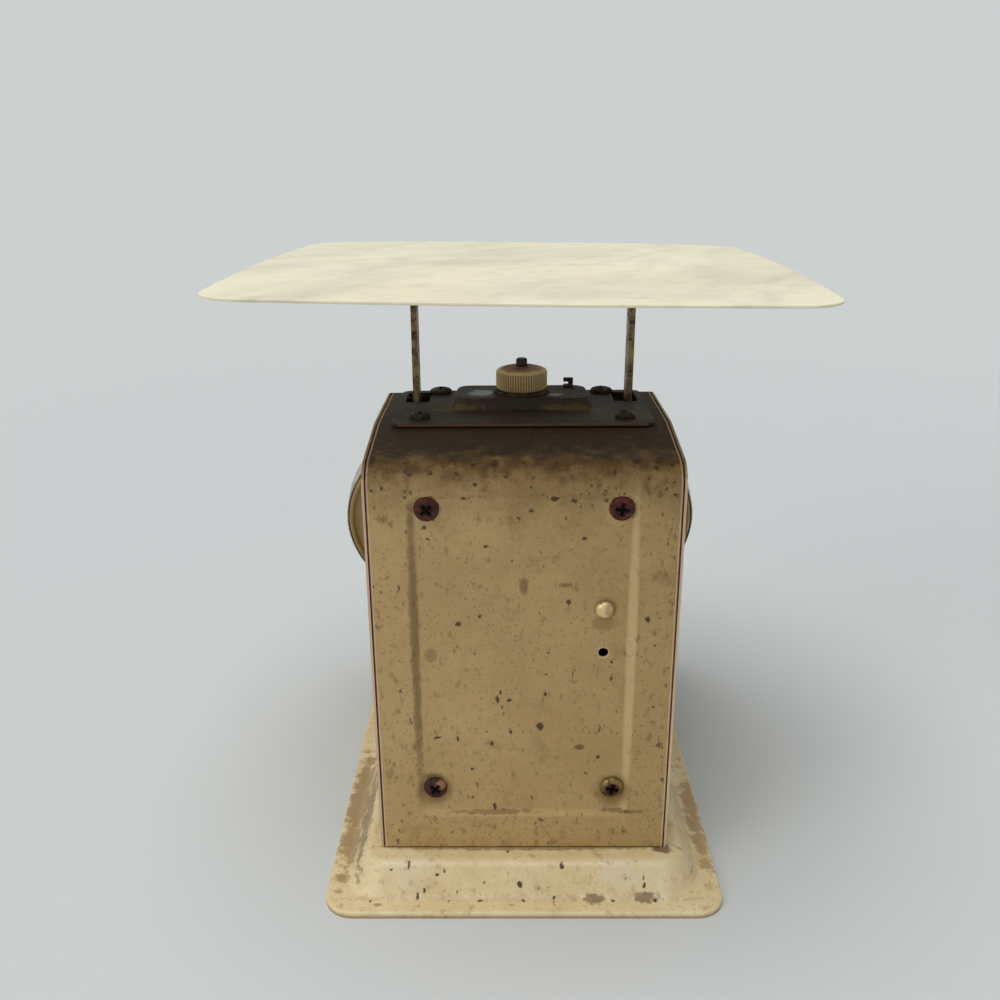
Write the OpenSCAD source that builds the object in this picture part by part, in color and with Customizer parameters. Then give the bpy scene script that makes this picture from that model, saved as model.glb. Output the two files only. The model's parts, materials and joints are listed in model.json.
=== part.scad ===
// Household spring scale: a folded steel housing on a stamped base, a flat square
// platform on two straps, a zero-setting knob on the roof and a sloping round dial.
// Millimetres. +Z is up, the dial looks towards -Y and the rear cover towards +Y.
// A depth is measured forward from the rear cover's outer face, so it runs along -Y.

/* [Housing] */
// Width across the two side walls
body_w = 116.4; // [106:0.1:136]
// Height from the base's plateau to the roof
body_h = 168.8; // [150:0.1:200]
// Depth of the roof, from the rear face to the top edge of the sloped front
roof_d = 93.5; // [88:0.1:110]
// Lean of the sloped front from the vertical, in degrees
lean = 30.4; // [24:0.1:36]
// Thickness of the housing's sheet
sheet_t = 0.9; // [0.7:0.05:1.2]
// Gap between the rear cover and each side wall
cover_gap = 0.4; // [0.3:0.05:0.8]
// Outer radius of the bend between the rear panel and the roof
bend_r = 10; // [7:0.5:14]
// Pitch of the roof between that bend and its level part, in degrees
roof_pitch = 8; // [4:0.5:12]
// Length of the level part of the roof
level_l = 51.8; // [51.8:0.1:60]
// Width of the flanges turned in along the foot of the side walls
foot_flange_w = 11; // [9:0.5:16]

/* [Base] */
// Height of the plateau that the housing stands on
base_h = 14.3; // [11:0.1:20]
// Thickness of the base's sheet
base_t = 1; // [0.8:0.1:1.5]
// Plateau showing beside the housing
margin_side = 6; // [4:0.1:12]
// Plateau showing behind and in front of the housing
margin_end = 8.6; // [6:0.1:16]
// Width of the stamped wall, seen from above
wall_run = 7.7; // [5:0.1:11]
// Width of the flat flange round the foot
flange_w = 7.8; // [6:0.1:14]
// Height of that flange's top
flange_h = 2.7; // [2:0.1:4]
// Corner radius of the flange
rim_r = 12; // [8:0.5:16]
// Corner radius of the plateau
ridge_r = 9; // [6:0.5:14]
// Size of the eased edge round the flange
rim_ease = 0.9; // [0.4:0.1:1.2]

/* [Rear cover] */
// Distance of the stamped recess from the cover's sides
recess_side = 14.3; // [10:0.1:18]
// Distance of the recess from the cover's foot
recess_foot = 14.9; // [10:0.1:20]
// Distance of the recess below the roof
recess_head = 13.9; // [13:0.1:22]
// Depth of the recess
recess_depth = 1.5; // [0.8:0.1:2.5]
// Width of the recess's sloped border
recess_run = 2.6; // [1.5:0.1:3]
// Corner radius of the recess
recess_r = 5; // [4.6:0.1:9]
// Distance of each cover screw in from the recess's side
cover_screw_in = 7.3; // [7.3:0.1:12]
// Distance of the lower cover screws above the recess's foot
cover_screw_low = 13.6; // [8:0.1:24]
// Distance of the upper cover screws below the recess's top
cover_screw_high = 7.4; // [6:0.1:16]
// Diameter of the cover screws' heads
cover_head_d = 9.4; // [8:0.1:9.4]
// Diameter of the cover screws' shanks
cover_shank_d = 4.6; // [3.5:0.1:5]
// Distance of the brass stud from the cover's middle
stud_x = 30.2; // [20:0.1:34]
// Height of the brass stud above the cover's foot
stud_z = 107; // [95:0.5:120]
// Diameter of the brass stud's head
stud_d = 6.9; // [5:0.1:9]
// Distance of the plain hole below the brass stud
peep_drop = 18.1; // [14:0.1:30]
// Diameter of the plain hole
peep_d = 3.9; // [2.5:0.1:6]

/* [Roof cap] */
// Roof showing beside the cap
cap_side = 6.7; // [4:0.1:10]
// Roof showing in front of the cap
cap_front = 1.4; // [1:0.1:4]
// Depth of the cap
cap_d = 56.6; // [54:0.1:62]
// Thickness of the cap's sheet
cap_t = 1; // [0.7:0.05:1.5]
// Corner radius of the cap
cap_r = 4; // [2:0.5:7]
// Width of the raised boss at its foot
boss_w = 59; // [50:0.5:66]
// Depth of the raised boss at its foot
boss_d = 29; // [26:0.5:34]
// Height of the raised boss
boss_h = 4.5; // [3:0.1:7]
// Width of the boss's sloped sides, seen from above
boss_run = 2.2; // [1:0.1:4]
// Corner radius of the boss at its foot
boss_r = 6; // [4.5:0.5:9]
// Width of the slots that the straps pass through
slot_w = 10; // [8:0.1:12]
// Length of those slots, along the depth
slot_l = 17; // [14:0.1:20]
// Distance of the slots' centre line inward from the straps' middle
slot_shift = 1.35; // [0:0.05:2]
// Distance of the rear cap screws from the middle
cap_rear_x = 40.6; // [36:0.1:46]
// Distance of the rear cap screws behind the spindle
cap_rear_back = 25.5; // [24:0.1:30]
// Distance of the front cap screws from the middle
cap_front_x = 34.9; // [32:0.1:36]
// Distance of the front cap screws in front of the spindle
cap_front_fore = 17.4; // [16:0.1:19]
// Diameter of the rear cap screws' heads
cap_rear_head_d = 8.2; // [7:0.1:9]
// Diameter of the front cap screws' heads
cap_front_head_d = 9.6; // [7:0.1:10]
// Diameter of the cap screws' shanks
cap_shank_d = 3.8; // [3:0.1:4.5]

/* [Zero knob] */
// Distance of the spindle behind the sloped front's top edge
spindle_back = 23; // [21:0.1:30]
// Diameter of the spindle
spindle_d = 4.6; // [4:0.1:6]
// Height of the spindle's end above the knob
spindle_show = 3; // [1:0.1:6]
// Diameter of the knob
knob_d = 21.2; // [16:0.1:24]
// Height of the knob's ribbed side
knob_h = 8; // [5:0.1:12]
// Rise of the knob's top above its ribbed side
knob_crown = 1.6; // [0.8:0.1:3]
// Ribs round the knob
knob_ribs = 60; // [36:1:90]
// Depth of the ribs
rib_depth = 0.35; // [0.2:0.05:0.6]
// Diameter of the washer under the knob
washer_d = 23.4; // [19:0.1:25]
// Thickness of that washer
washer_t = 1.4; // [0.8:0.1:2]
// Distance of the bent stop tab from the spindle
tab_x = 20; // [17:0.1:23]
// Width of the stop tab
tab_w = 4.2; // [3:0.1:6]
// Height of the stop tab above the boss
tab_h = 3.6; // [2:0.1:6]

/* [Platform] */
// Width of the platform between the middles of its sides
platform_w = 208.4; // [180:0.1:230]
// Depth of the platform between the middles of its front and rear edges
platform_d = 203; // [180:0.1:230]
// Thickness of the platform's sheet
platform_t = 1; // [0.8:0.1:1.6]
// Corner radius of the platform
platform_r = 15; // [6:0.5:24]
// Bow of each edge of the platform
platform_bow = 4; // [0:0.1:8]
// Height of the platform's top above the roof
platform_rise = 59.3; // [50:0.1:70]
// Turn of the platform on its straps, in degrees
platform_turn = -1.6; // [-4:0.1:4]
// Distance of the platform's middle behind the spindle
platform_back = 6.6; // [0:0.1:16]

/* [Straps and carriage] */
// Distance of the straps in from the side walls' outer faces
strap_in = 11.75; // [10.5:0.05:13]
// Thickness of the straps
strap_t = 2.4; // [1.8:0.1:3]
// Width of the straps
strap_w = 10; // [8:0.1:11]
// Distance of the straps' middle in front of the spindle
strap_fore = 10.3; // [8:0.1:11]
// Length of the foot at the top of each strap, under the platform
strap_foot = 22; // [14:0.5:28]
// Bend radius at the top of each strap
strap_bend = 4; // [3:0.5:7]
// Height of the straps' lower ends above the plateau
strap_low = 37; // [30:0.5:44]
// Height of the carriage bar above the plateau
bar_z = 51; // [46:0.5:60]
// Thickness of the carriage bar's sheet
bar_t = 1.5; // [1:0.1:2.5]
// Height of the carriage bar's front web
bar_web = 12; // [10:0.5:13]
// Height of the carriage bar's end tabs
bar_tab = 14; // [12:0.5:20]
// Diameter of the rivets
rivet_d = 3; // [2:0.1:4]

/* [Check links] */
// Distance of the upper links' pivot below the roof
link_high = 28; // [24:0.5:34]
// Height of the lower links' pivot above the plateau
link_low = 36; // [32:0.5:44]
// Depth of the links' pivots
pivot_depth = 14; // [12:0.5:20]
// Diameter of the pivot rods
pivot_d = 4; // [3:0.1:5]
// Diameter of the pins on the straps
pin_d = 3.6; // [3:0.1:4.5]
// Width of the link arms
link_w = 9; // [8:0.5:12]
// Thickness of the link arms
link_t = 1.2; // [0.8:0.1:2]

/* [Spring] */
// Diameter of the spring's wire
wire_d = 2.6; // [2:0.1:2.8]
// Mean diameter of the coil
coil_d = 17; // [14:0.5:20]
// Turns in the coil
coil_turns = 14; // [8:1:16]
// Rise of one turn with the platform empty
coil_pitch = 3.4; // [3.2:0.1:3.6]
// Mean radius of the end hooks
hook_r = 5.5; // [5:0.1:6.5]

/* [Dial] */
// Diameter over the bezel
dial_d = 178.6; // [160:0.2:190]
// Distance of the dial's middle down the slope from its top edge
dial_drop = 99.8; // [92:0.1:104]
// Width of the flat rim of the dial's pan
pan_rim = 5.2; // [4:0.1:8]
// Depth of the dial's pan
pan_depth = 2.5; // [2:0.1:4]
// Radius of the rolled bead on the pan's edge
bead_r = 1.3; // [1:0.1:1.8]
// Depth of the bezel from its rear edge to its front
bezel_depth = 10.8; // [9:0.1:14]
// Width of the bezel's rounded shoulder
bezel_shoulder = 5; // [3:0.1:7]
// Width of the lip that holds the lens
bezel_lip = 2.4; // [1.5:0.1:4]
// Thickness of the bezel's sheet
bezel_t = 0.9; // [0.6:0.1:1.2]
// Thickness of the lens
lens_t = 1.6; // [1:0.1:2.2]
// Thickness of the dial's printed disc
face_t = 0.5; // [0.4:0.1:0.8]
// Length of the pointer from its middle to its tip
pointer_l = 68; // [50:0.5:76]
// Length of the pointer's tail
pointer_tail = 17; // [10:0.5:24]
// Width of the pointer at its middle
pointer_w = 5; // [3:0.1:7]
// Diameter of the pointer's hub
hub_d = 10; // [8:0.5:16]

/* [Dial train] */
// Module of the rack and pinion
tooth_m = 0.5; // [0.45:0.05:0.6]
// Teeth on the pinion
pinion_teeth = 12; // [12:1:14]
// Width of the pinion's teeth
pinion_w = 4; // [3.2:0.1:5]
// Thickness of the rack
rack_t = 3; // [2:0.1:3.1]
// Width of the rack's bar behind its teeth
rack_w = 4.5; // [4:0.1:6]
// Diameter of the pointer's arbor
arbor_d = 3; // [2.5:0.1:3.4]
// Travel of the platform from empty to full load
travel = 15.6; // [12:0.1:16]
// Diameter of the drive pin
drive_d = 3; // [2.5:0.1:3.5]

/* [Clearances] */
// Gap at a turning or sliding fit
run_gap = 0.08; // [0.05:0.01:0.1]
// Gap beside parts that move past each other
side_gap = 0.3; // [0.25:0.05:0.5]
// Gap round screws, rivets and pins in their holes
hole_gap = 0.05; // [0.03:0.01:0.1]

/* [Hidden] */
$fn = 64;

paint = "#c9bd98";
grime = "#5b4a38";
steel = "#8f8f8c";
brass = "#b08d4a";
past = 0.5;

// Housing
roof_z = base_h + body_h;
inner_half = body_w / 2 - sheet_t;
cover_half = inner_half - cover_gap;
foot_depth = roof_d + body_h * tan(lean);
slope_t = sheet_t / cos(lean);
level_from = roof_d - level_l;
bend_top = bend_r * (1 - sin(roof_pitch));
bend_z = roof_z - bend_r * cos(roof_pitch) - (level_from - bend_top) * tan(roof_pitch);

// Base
plateau_w = body_w + 2 * margin_side;
plateau_d = foot_depth + 2 * margin_end;
base_w = plateau_w + 2 * (wall_run + flange_w);
base_d = plateau_d + 2 * (wall_run + flange_w);
base_mid = foot_depth / 2;
wall_angle = atan((base_h - flange_h) / wall_run);
base_screw_x = inner_half - foot_flange_w / 2;
base_screw_end = 34;
base_screw_rear = base_screw_end;
base_screw_fore = foot_depth - base_screw_end;
foot_flange_end = 18;
base_shank_d = 3.8;
small_head_d = 7;
small_head_h = 2.2;
nut_w = 6.6;
nut_h = 2.6;

// Rear cover
recess_w = 2 * (cover_half - recess_side);
recess_h = body_h - recess_foot - recess_head;
recess_mid = base_h + recess_foot + recess_h / 2;
cover_screw_x = recess_w / 2 - cover_screw_in;
cover_screw_z = [base_h + recess_foot + cover_screw_low, roof_z - recess_head - cover_screw_high];
cover_head_h = 2.4;
seat_depth = sheet_t + recess_depth;

// Roof cap and zero knob
spindle_depth = roof_d - spindle_back;
cap_w = body_w - 2 * cap_side;
cap_mid = roof_d - cap_front - cap_d / 2;
boss_z = roof_z + cap_t + boss_h;
cap_screws = [[cap_rear_x, spindle_depth - cap_rear_back, cap_rear_head_d],
    [cap_front_x, spindle_depth + cap_front_fore, cap_front_head_d]];
cap_head_h = 2.2;
cap_shank_l = 7.5;
knob_z = boss_z + washer_t + run_gap;
spindle_top = knob_z + knob_h + knob_crown + spindle_show;
return_from = cap_mid - cap_d / 2 + 3;
spindle_room = 4;
spindle_hole_d = spindle_d + 2 * spindle_room;

// Straps and carriage
strap_out = body_w / 2 - strap_in;
strap_x = strap_out - strap_t / 2;
strap_depth = spindle_depth + strap_fore;
platform_z = roof_z + platform_rise;
platform_mid = spindle_depth - platform_back;
strap_top = platform_z - platform_t;
strap_end = base_h + strap_low;
slot_x = strap_x - slot_shift;
slot_depth = strap_depth - slot_shift;
bar_top = base_h + bar_z;
bar_rear = spindle_depth - wire_d - hook_r;
bar_front = strap_depth + strap_w / 2;
bar_half = strap_x - strap_t / 2;
eye_hole_d = wire_d + 2.6;
eye_d = eye_hole_d + 5.8;
eye_t = 2.4;
bar_eye_z = bar_top + eye_hole_d / 2 + 2.4;
rivet_z = bar_top + bar_tab - bar_t - rivet_d;

// Check links
pivot_z = [base_h + link_low, roof_z - link_high];
link_l = strap_depth - pivot_depth;
link_swing = 2 * atan(travel / 2 / link_l);
pin_reach = link_l / cos(link_swing / 2);
pin_z = [pivot_z[0] + travel / 2, pivot_z[1] + travel / 2];
rail_t = 1.2;
rail_out = inner_half - side_gap;
rail_in = cover_screw_x - 6.5;
rail_depth = pivot_depth + 7;
rail_low = base_h + sheet_t;
rail_top = cover_screw_z[1] + 7;
link_out = rail_out - rail_t - 4;
link_tube_d = pivot_d + 3;
pin_head_t = 0.9;

// Spring
hook_rise = hook_r + 3;
seat_gap = 0.3;
low_hook_z = bar_eye_z + eye_hole_d / 2 - seat_gap - wire_d / 2 + hook_r;
coil_low = low_hook_z + hook_rise;
coil_high = coil_low + coil_turns * coil_pitch;
high_hook_z = coil_high + hook_rise;
spindle_eye_z = high_hook_z + hook_r + wire_d / 2 + seat_gap - eye_hole_d / 2;
ring_steps = 8;
wire_sides = 6;

// Dial, in its own frame: x across, y up the slope, z out of the slope
dial_depth = roof_d + dial_drop * sin(lean);
dial_z = roof_z - dial_drop * cos(lean);
bezel_r = dial_d / 2;
bezel_skirt = 1.6;
bead_mid = bezel_r - bezel_t - 0.1 - bead_r;
pan_wall_top = bead_mid - pan_rim;
pan_wall_run = 3.5;
pan_hole_d = 16;
pan_top = pan_depth + sheet_t;
face_r = pan_wall_top + 1.8;
spacer_t = 1.2;
lens_r = bezel_r - bezel_shoulder - side_gap;
bezel_top = bezel_skirt + bezel_depth;
lens_z = bezel_top - bezel_t - lens_t;
face_z = pan_top + face_t;
dial_screw_r = 26;
dial_screw_d = 3.4;
dial_head_h = 1.5;

// Dial train
pitch_r = tooth_m * pinion_teeth / 2;
pressure = 20;
pinion_tip = pitch_r + 0.9 * tooth_m;
pinion_root = pitch_r - 1.1 * tooth_m;
tooth_pitch = PI * tooth_m;
backlash = 0.1;
mesh_gap = 0.04;
plate_t = 1.5;
plate_back = -sheet_t - plate_t;
plate_w = 56;
plate_low = -21;
plate_high = 34;
bush_l = 5;
bush_d = 7;
bush_flange_d = 11;
pinion_front = plate_back - bush_l + 1.1;
pinion_back = pinion_front - pinion_w;
rack_front = pinion_front - (pinion_w - rack_t) / 2;
rack_back = rack_front - rack_t;
rack_line = pitch_r + mesh_gap;
rack_root = rack_line + 1.1 * tooth_m;
rack_side = rack_root + rack_w;
rack_travel = travel / cos(lean);
slip = travel * tan(lean);
bridge_z = pinion_back - 4.2;
bridge_t = 1.5;
bridge_half = 17;
bridge_w = 12;
arbor_front = lens_z - 1.2;
arbor_back = bridge_z - bridge_t - 1;
guide_l = 16;
guide_t = 1.2;
hub_z = face_z + 0.8;
hub_h = 2.8;
blade_t = 0.6;

// Drive from the carriage to the rack
drive_z = bar_top - bar_t - bar_web / 2;
rack_inner = dial_depth + (rack_back - (drive_z - dial_z) * sin(lean)) / cos(lean);
drive_depth = rack_inner - 8;
lug_t = 2;
lug_in = rack_root + 0.8;
lug_h = 10;
arm_t = 1.5;
arm_in = rack_side + 0.7;
arm_h = 9;
arm_foot = 16;
arm_rivets = [arm_in + arm_t + 4, arm_in + arm_foot - 3.5];
pin_head_d = drive_d + 2;

// Platform's outline: one quarter from the middle of a side round the corner, then the rest
bow_slope = atan(2 * platform_bow / (platform_d / 2 - platform_r));
corner_in = platform_bow + platform_r * cos(bow_slope);
edge_end = corner_in - platform_r * sin(bow_slope);
edge_steps = 6;
corner_steps = 8;
corner_mid = [platform_w / 2 - corner_in, platform_d / 2 - corner_in];
platform_quarter = concat(
    [for (k = [0:edge_steps - 1])
        let (t = k / edge_steps)
            [platform_w / 2 - platform_bow * t * t, (platform_d / 2 - edge_end) * t]],
    [for (k = [0:corner_steps])
        let (a = bow_slope + (90 - 2 * bow_slope) * k / corner_steps)
            corner_mid + platform_r * [cos(a), sin(a)]],
    [for (k = [edge_steps - 1:-1:0])
        let (t = k / edge_steps)
            [(platform_w / 2 - edge_end) * t, platform_d / 2 - platform_bow * t * t]]);
quarter_end = len(platform_quarter) - 1;
platform_outline = concat(
    platform_quarter,
    [for (k = [quarter_end - 1:-1:0]) [-platform_quarter[k][0], platform_quarter[k][1]]],
    [for (k = [1:quarter_end]) -platform_quarter[k]],
    [for (k = [quarter_end - 1:-1:1]) [platform_quarter[k][0], -platform_quarter[k][1]]]);

// The origin is under the middle of the whole scale's box
platform_reach = max([for (p = platform_outline)
    p[0] * sin(platform_turn) + p[1] * cos(platform_turn)]);
rear_reach = max(platform_reach - platform_mid, base_d / 2 - base_mid);
front_reach = max(platform_reach + platform_mid, base_mid + base_d / 2);
origin_y = (front_reach - rear_reach) / 2;

// Places its children at the housing, whose rear face is their XZ plane
module at_housing() {
    translate([0, origin_y, 0]) children();
}

// Places its children on the sloped front, at the dial's middle
module at_dial() {
    at_housing() translate([0, -dial_depth, dial_z]) rotate([90 - lean, 0, 0]) children();
}

// Extrudes a side view, drawn as depth and height, from x0 to x1
module across(x0, x1) {
    translate([x1, 0, 0]) rotate([90, 0, -90]) linear_extrude(x1 - x0) children();
}

// A slab with rounded corners, standing on its full size and drawn in by run at its top.
// Its sizes are taken to the nearest twentieth of a millimetre
function tidy(size) = round(20 * size) / 20;
module pad(w, d, h, r, run = 0) {
    x1 = tidy(w) / 2;
    y1 = tidy(d) / 2;
    r1 = tidy(r);
    draw = tidy(run);
    for (x = [-1, 1], y = [-1, 1])
        translate([x * (x1 - r1), y * (y1 - r1), 0]) cylinder(h = h, r1 = r1, r2 = r1 - draw);
    rotate([90, 0, 90])
        translate([0, 0, r1 - x1])
            linear_extrude(2 * (x1 - r1))
                polygon([[-y1, 0], [y1, 0], [y1 - draw, h], [draw - y1, h]]);
    rotate([90, 0, 0])
        translate([0, 0, r1 - y1])
            linear_extrude(2 * (y1 - r1))
                polygon([[-x1, 0], [x1, 0], [x1 - draw, h], [draw - x1, h]]);
}

// The same slab as one convex form, for the stamped base
module stamped_pad(w, d, h, r, run = 0) {
    hull()
        for (x = [-1, 1], y = [-1, 1])
            translate([x * (w / 2 - r), y * (d / 2 - r), 0]) cylinder(h = h, r1 = r, r2 = r - run);
}

// A pan-head screw: its head stands on the XY plane and its shank hangs below
module screw(head_d, head_h, shank_d, shank_l) {
    difference() {
        union() {
            rotate_extrude()
                polygon([[0, 0], [head_d / 2, 0], [head_d / 2, head_h * 0.45],
                    [head_d * 0.43, head_h * 0.78], [head_d * 0.28, head_h], [0, head_h]]);
            translate([0, 0, -shank_l]) cylinder(h = shank_l + head_h / 2, d = shank_d);
        }
        for (turn = [0, 90])
            rotate([0, 0, turn])
                translate([-head_d * 0.27, -head_d * 0.055, head_h * 0.45])
                    cube([head_d * 0.54, head_d * 0.11, head_h]);
    }
}

// A hexagon nut on a shank, standing on the XY plane
module nut(w, h, bore_d) {
    difference() {
        cylinder(h = h, d = w / cos(30), $fn = 6);
        translate([0, 0, -past]) cylinder(h = h + 2 * past, d = bore_d + 2 * hole_gap);
    }
}

// A row of holes through the roof's sheets, from low to high
module roof_holes(low, high, grow = 0) {
    h = high - low;
    for (side = [-1, 1]) {
        translate([side * slot_x, -slot_depth, low])
            pad(slot_w + 2 * grow, slot_l + 2 * grow, h, 1 + grow);
        for (s = cap_screws)
            translate([side * s[0], -s[1], low]) cylinder(h = h, d = cap_shank_d + 2 * hole_gap);
    }
}

// The housing's side view, drawn in by inset from its outer faces
module body_outline(inset = 0) {
    kink = inset * tan(roof_pitch / 2);
    lip = inset / cos(lean);
    translate([bend_r, bend_z]) circle(r = bend_r - inset);
    polygon([
        [inset, base_h],
        [inset, bend_z],
        [bend_r, bend_z],
        [bend_r - (bend_r - inset) * sin(roof_pitch), bend_z + (bend_r - inset) * cos(roof_pitch)],
        [level_from + kink, roof_z - inset],
        [roof_d - lip + inset * tan(lean), roof_z - inset],
        [foot_depth - lip, base_h]
    ]);
}

// A point on the roof's underside at a drop below its faces: at the given depth, or at its kink
function under_roof(drop, depth) =
    let (kink = level_from + drop * tan(roof_pitch / 2))
        [depth > 0 ? depth : kink, roof_z - drop - (depth > 0 ? kink - depth : 0) * tan(roof_pitch)];

// The base's form, drawn in by a sheet's thickness for its underside
module base_form(inset = 0) {
    ease = inset > 0 ? 0 : rim_ease;
    fold = inset * tan(wall_angle / 2);
    low = inset > 0 ? -past : 0;
    translate([0, -base_mid, low])
        stamped_pad(base_w - 2 * inset, base_d - 2 * inset, flange_h - inset - ease - low, rim_r - inset);
    if (ease > 0)
        translate([0, -base_mid, flange_h - ease]) stamped_pad(base_w, base_d, ease, rim_r, ease);
    translate([0, -base_mid, flange_h - inset])
        stamped_pad(plateau_w + 2 * (wall_run - fold), plateau_d + 2 * (wall_run - fold),
            base_h - flange_h, ridge_r + wall_run - fold, wall_run);
}

// Places its children at the four screws that hold the housing to the base
module at_base_screws() {
    for (side = [-1, 1], depth = [base_screw_rear, base_screw_fore])
        translate([side * base_screw_x, -depth, 0]) children();
}

// Stamped base with a stepped wall and a flat flange, open underneath
module base_pan() {
    color(paint)
        at_housing()
            difference() {
                base_form();
                base_form(base_t);
                at_base_screws()
                    translate([0, 0, base_h - 2 * base_t])
                        cylinder(h = 3 * base_t, d = base_shank_d + 2 * hole_gap);
            }
}

// Screws up through the plateau into the housing's foot flanges
module base_screws() {
    color(steel)
        at_housing()
            at_base_screws()
                translate([0, 0, base_h - base_t])
                    rotate([180, 0, 0])
                        screw(small_head_d, small_head_h, base_shank_d, base_t + sheet_t + nut_h + 1);
}

// Nuts on the base screws, inside the housing
module base_nuts() {
    color(steel)
        at_housing()
            at_base_screws()
                translate([0, 0, base_h + sheet_t]) nut(nut_w, nut_h, base_shank_d);
}

// Side walls, sloped front and the flange turned back under the roof, as one folded sheet
module front_shell() {
    color(paint)
        difference() {
            at_housing() difference() {
                union() {
                    across(inner_half, body_w / 2) body_outline();
                    across(-body_w / 2, -inner_half) body_outline();
                    across(-inner_half, inner_half)
                        polygon([[foot_depth, base_h], [foot_depth - slope_t, base_h],
                            [roof_d - slope_t, roof_z], [roof_d, roof_z]]);
                    across(-inner_half, inner_half)
                        polygon([under_roof(sheet_t, return_from), under_roof(sheet_t, 0),
                            [roof_d - slope_t / 2, roof_z - sheet_t],
                            [roof_d - slope_t / 2, roof_z - 2 * sheet_t],
                            under_roof(2 * sheet_t, 0), under_roof(2 * sheet_t, return_from)]);
                    for (side = [0, 1])
                        mirror([side, 0, 0])
                            translate([inner_half - foot_flange_w, foot_flange_end - foot_depth, base_h])
                                cube([foot_flange_w, foot_depth - 2 * foot_flange_end, sheet_t]);
                }
                roof_holes(roof_z - 3 * sheet_t, roof_z, 0.5);
                translate([0, -spindle_depth, roof_z - 3 * sheet_t])
                    cylinder(h = 3 * sheet_t, d = spindle_hole_d);
                at_base_screws()
                    translate([0, 0, base_h - sheet_t])
                        cylinder(h = 3 * sheet_t, d = base_shank_d + 2 * hole_gap);
            }
            at_dial() {
                translate([0, 0, -3 * sheet_t]) cylinder(h = 4 * sheet_t, d = pan_hole_d);
                at_dial_screws()
                    translate([0, 0, -3 * sheet_t])
                        cylinder(h = 4 * sheet_t, d = dial_screw_d + 2 * hole_gap);
            }
        }
}

// Rear panel, its bend and the roof, as one sheet that nests between the side walls
module rear_cover() {
    color(paint)
        at_housing()
            difference() {
                union() {
                    difference() {
                        across(-cover_half, cover_half)
                            difference() {
                                body_outline();
                                body_outline(sheet_t);
                            }
                        translate([-body_w, -(foot_depth + past), base_h - past])
                            cube([2 * body_w, foot_depth + past - bend_r - past, bend_z - base_h]);
                        translate([-body_w, -(foot_depth + past), base_h - past])
                            cube([2 * body_w, foot_depth + past - roof_d + slope_t + cover_gap,
                                body_h + 2 * past]);
                    }
                    recess(0);
                }
                recess(sheet_t);
                roof_holes(roof_z - 2 * sheet_t, roof_z + sheet_t, 0.5);
                translate([0, -spindle_depth, roof_z - 2 * sheet_t])
                    cylinder(h = 3 * sheet_t, d = spindle_hole_d);
                at_cover_screws()
                    translate([0, 0, -3 * sheet_t])
                        cylinder(h = 4 * sheet_t, d = cover_shank_d + 2 * hole_gap);
                at_stud()
                    translate([0, 0, -3 * sheet_t])
                        cylinder(h = 4 * sheet_t, d = stud_d / 2 + 2 * hole_gap);
                at_stud()
                    translate([0, -peep_drop, -3 * sheet_t])
                        cylinder(h = 4 * sheet_t, d = peep_d);
            }
}

// The stamped recess: with no lift it is the metal pushed in, with a lift the hollow it leaves
module recess(lift) {
    fold = sheet_t * tan(atan(recess_depth / recess_run) / 2);
    grow = lift > 0 ? 0 : fold;
    translate([0, lift > 0 ? past : -sheet_t / 2, recess_mid])
        rotate([90, 0, 0]) {
            if (lift > 0) {
                translate([0, 0, 0]) pad(recess_w, recess_h, past, recess_r);
                translate([0, 0, past]) pad(recess_w, recess_h, recess_depth, recess_r, recess_run);
            } else {
                translate([0, 0, sheet_t / 2])
                    pad(recess_w + 2 * grow, recess_h + 2 * grow, recess_depth,
                        recess_r + grow, recess_run);
            }
        }
}

// Places its children on the recess's floor at the four cover screws, facing the rear
module at_cover_screws() {
    for (side = [-1, 1], z = cover_screw_z)
        translate([side * cover_screw_x, -recess_depth, z]) rotate([-90, 0, 0]) children();
}

// Places its children on the recess's floor at the brass stud, facing the rear
module at_stud() {
    translate([-stud_x, -recess_depth, base_h + stud_z]) rotate([90, 0, 180]) children();
}

// Four screws that hold the rear cover to the rails
module rear_cover_screws() {
    color("#5e3326")
        at_housing()
            at_cover_screws()
                screw(cover_head_d, cover_head_h, cover_shank_d, sheet_t + rail_t + 5);
}

// Domed brass stud riveted in the rear cover
module brass_stud() {
    head_h = stud_d * 0.32;
    tail_t = 0.8;
    color(brass)
        at_housing()
            at_stud() {
                rotate_extrude()
                    polygon([[0, 0], [stud_d / 2, 0], [stud_d * 0.47, head_h * 0.45],
                        [stud_d * 0.36, head_h * 0.8], [stud_d * 0.18, head_h * 0.96], [0, head_h]]);
                translate([0, 0, -sheet_t - tail_t]) cylinder(h = sheet_t + 2 * tail_t, d = stud_d / 2);
                translate([0, 0, -sheet_t - tail_t]) cylinder(h = tail_t, d = stud_d * 0.7);
            }
}

// Plate on the roof with a raised boss for the knob and two slots for the straps
module roof_cap() {
    fold = cap_t * tan(atan(boss_h / boss_run) / 2);
    color(grime)
        at_housing()
            difference() {
                union() {
                    translate([0, -cap_mid, roof_z]) pad(cap_w, cap_d, cap_t, cap_r);
                    translate([0, -spindle_depth, roof_z + cap_t])
                        pad(boss_w, boss_d, boss_h, boss_r, boss_run);
                }
                translate([0, -spindle_depth, roof_z - past])
                    pad(boss_w - 2 * fold, boss_d - 2 * fold, past, boss_r - fold);
                translate([0, -spindle_depth, roof_z])
                    pad(boss_w - 2 * fold, boss_d - 2 * fold, boss_h, boss_r - fold, boss_run);
                roof_holes(roof_z - past, roof_z + cap_t + past);
                translate([0, -spindle_depth, roof_z])
                    cylinder(h = boss_h + 2 * cap_t, d = spindle_d + 2 * run_gap);
            }
}

// Places its children on the cap at its four screws
module at_cap_screws() {
    for (side = [-1, 1], s = cap_screws) {
        $screw_head_d = s[2];
        translate([side * s[0], -s[1], roof_z + cap_t]) children();
    }
}

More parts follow.
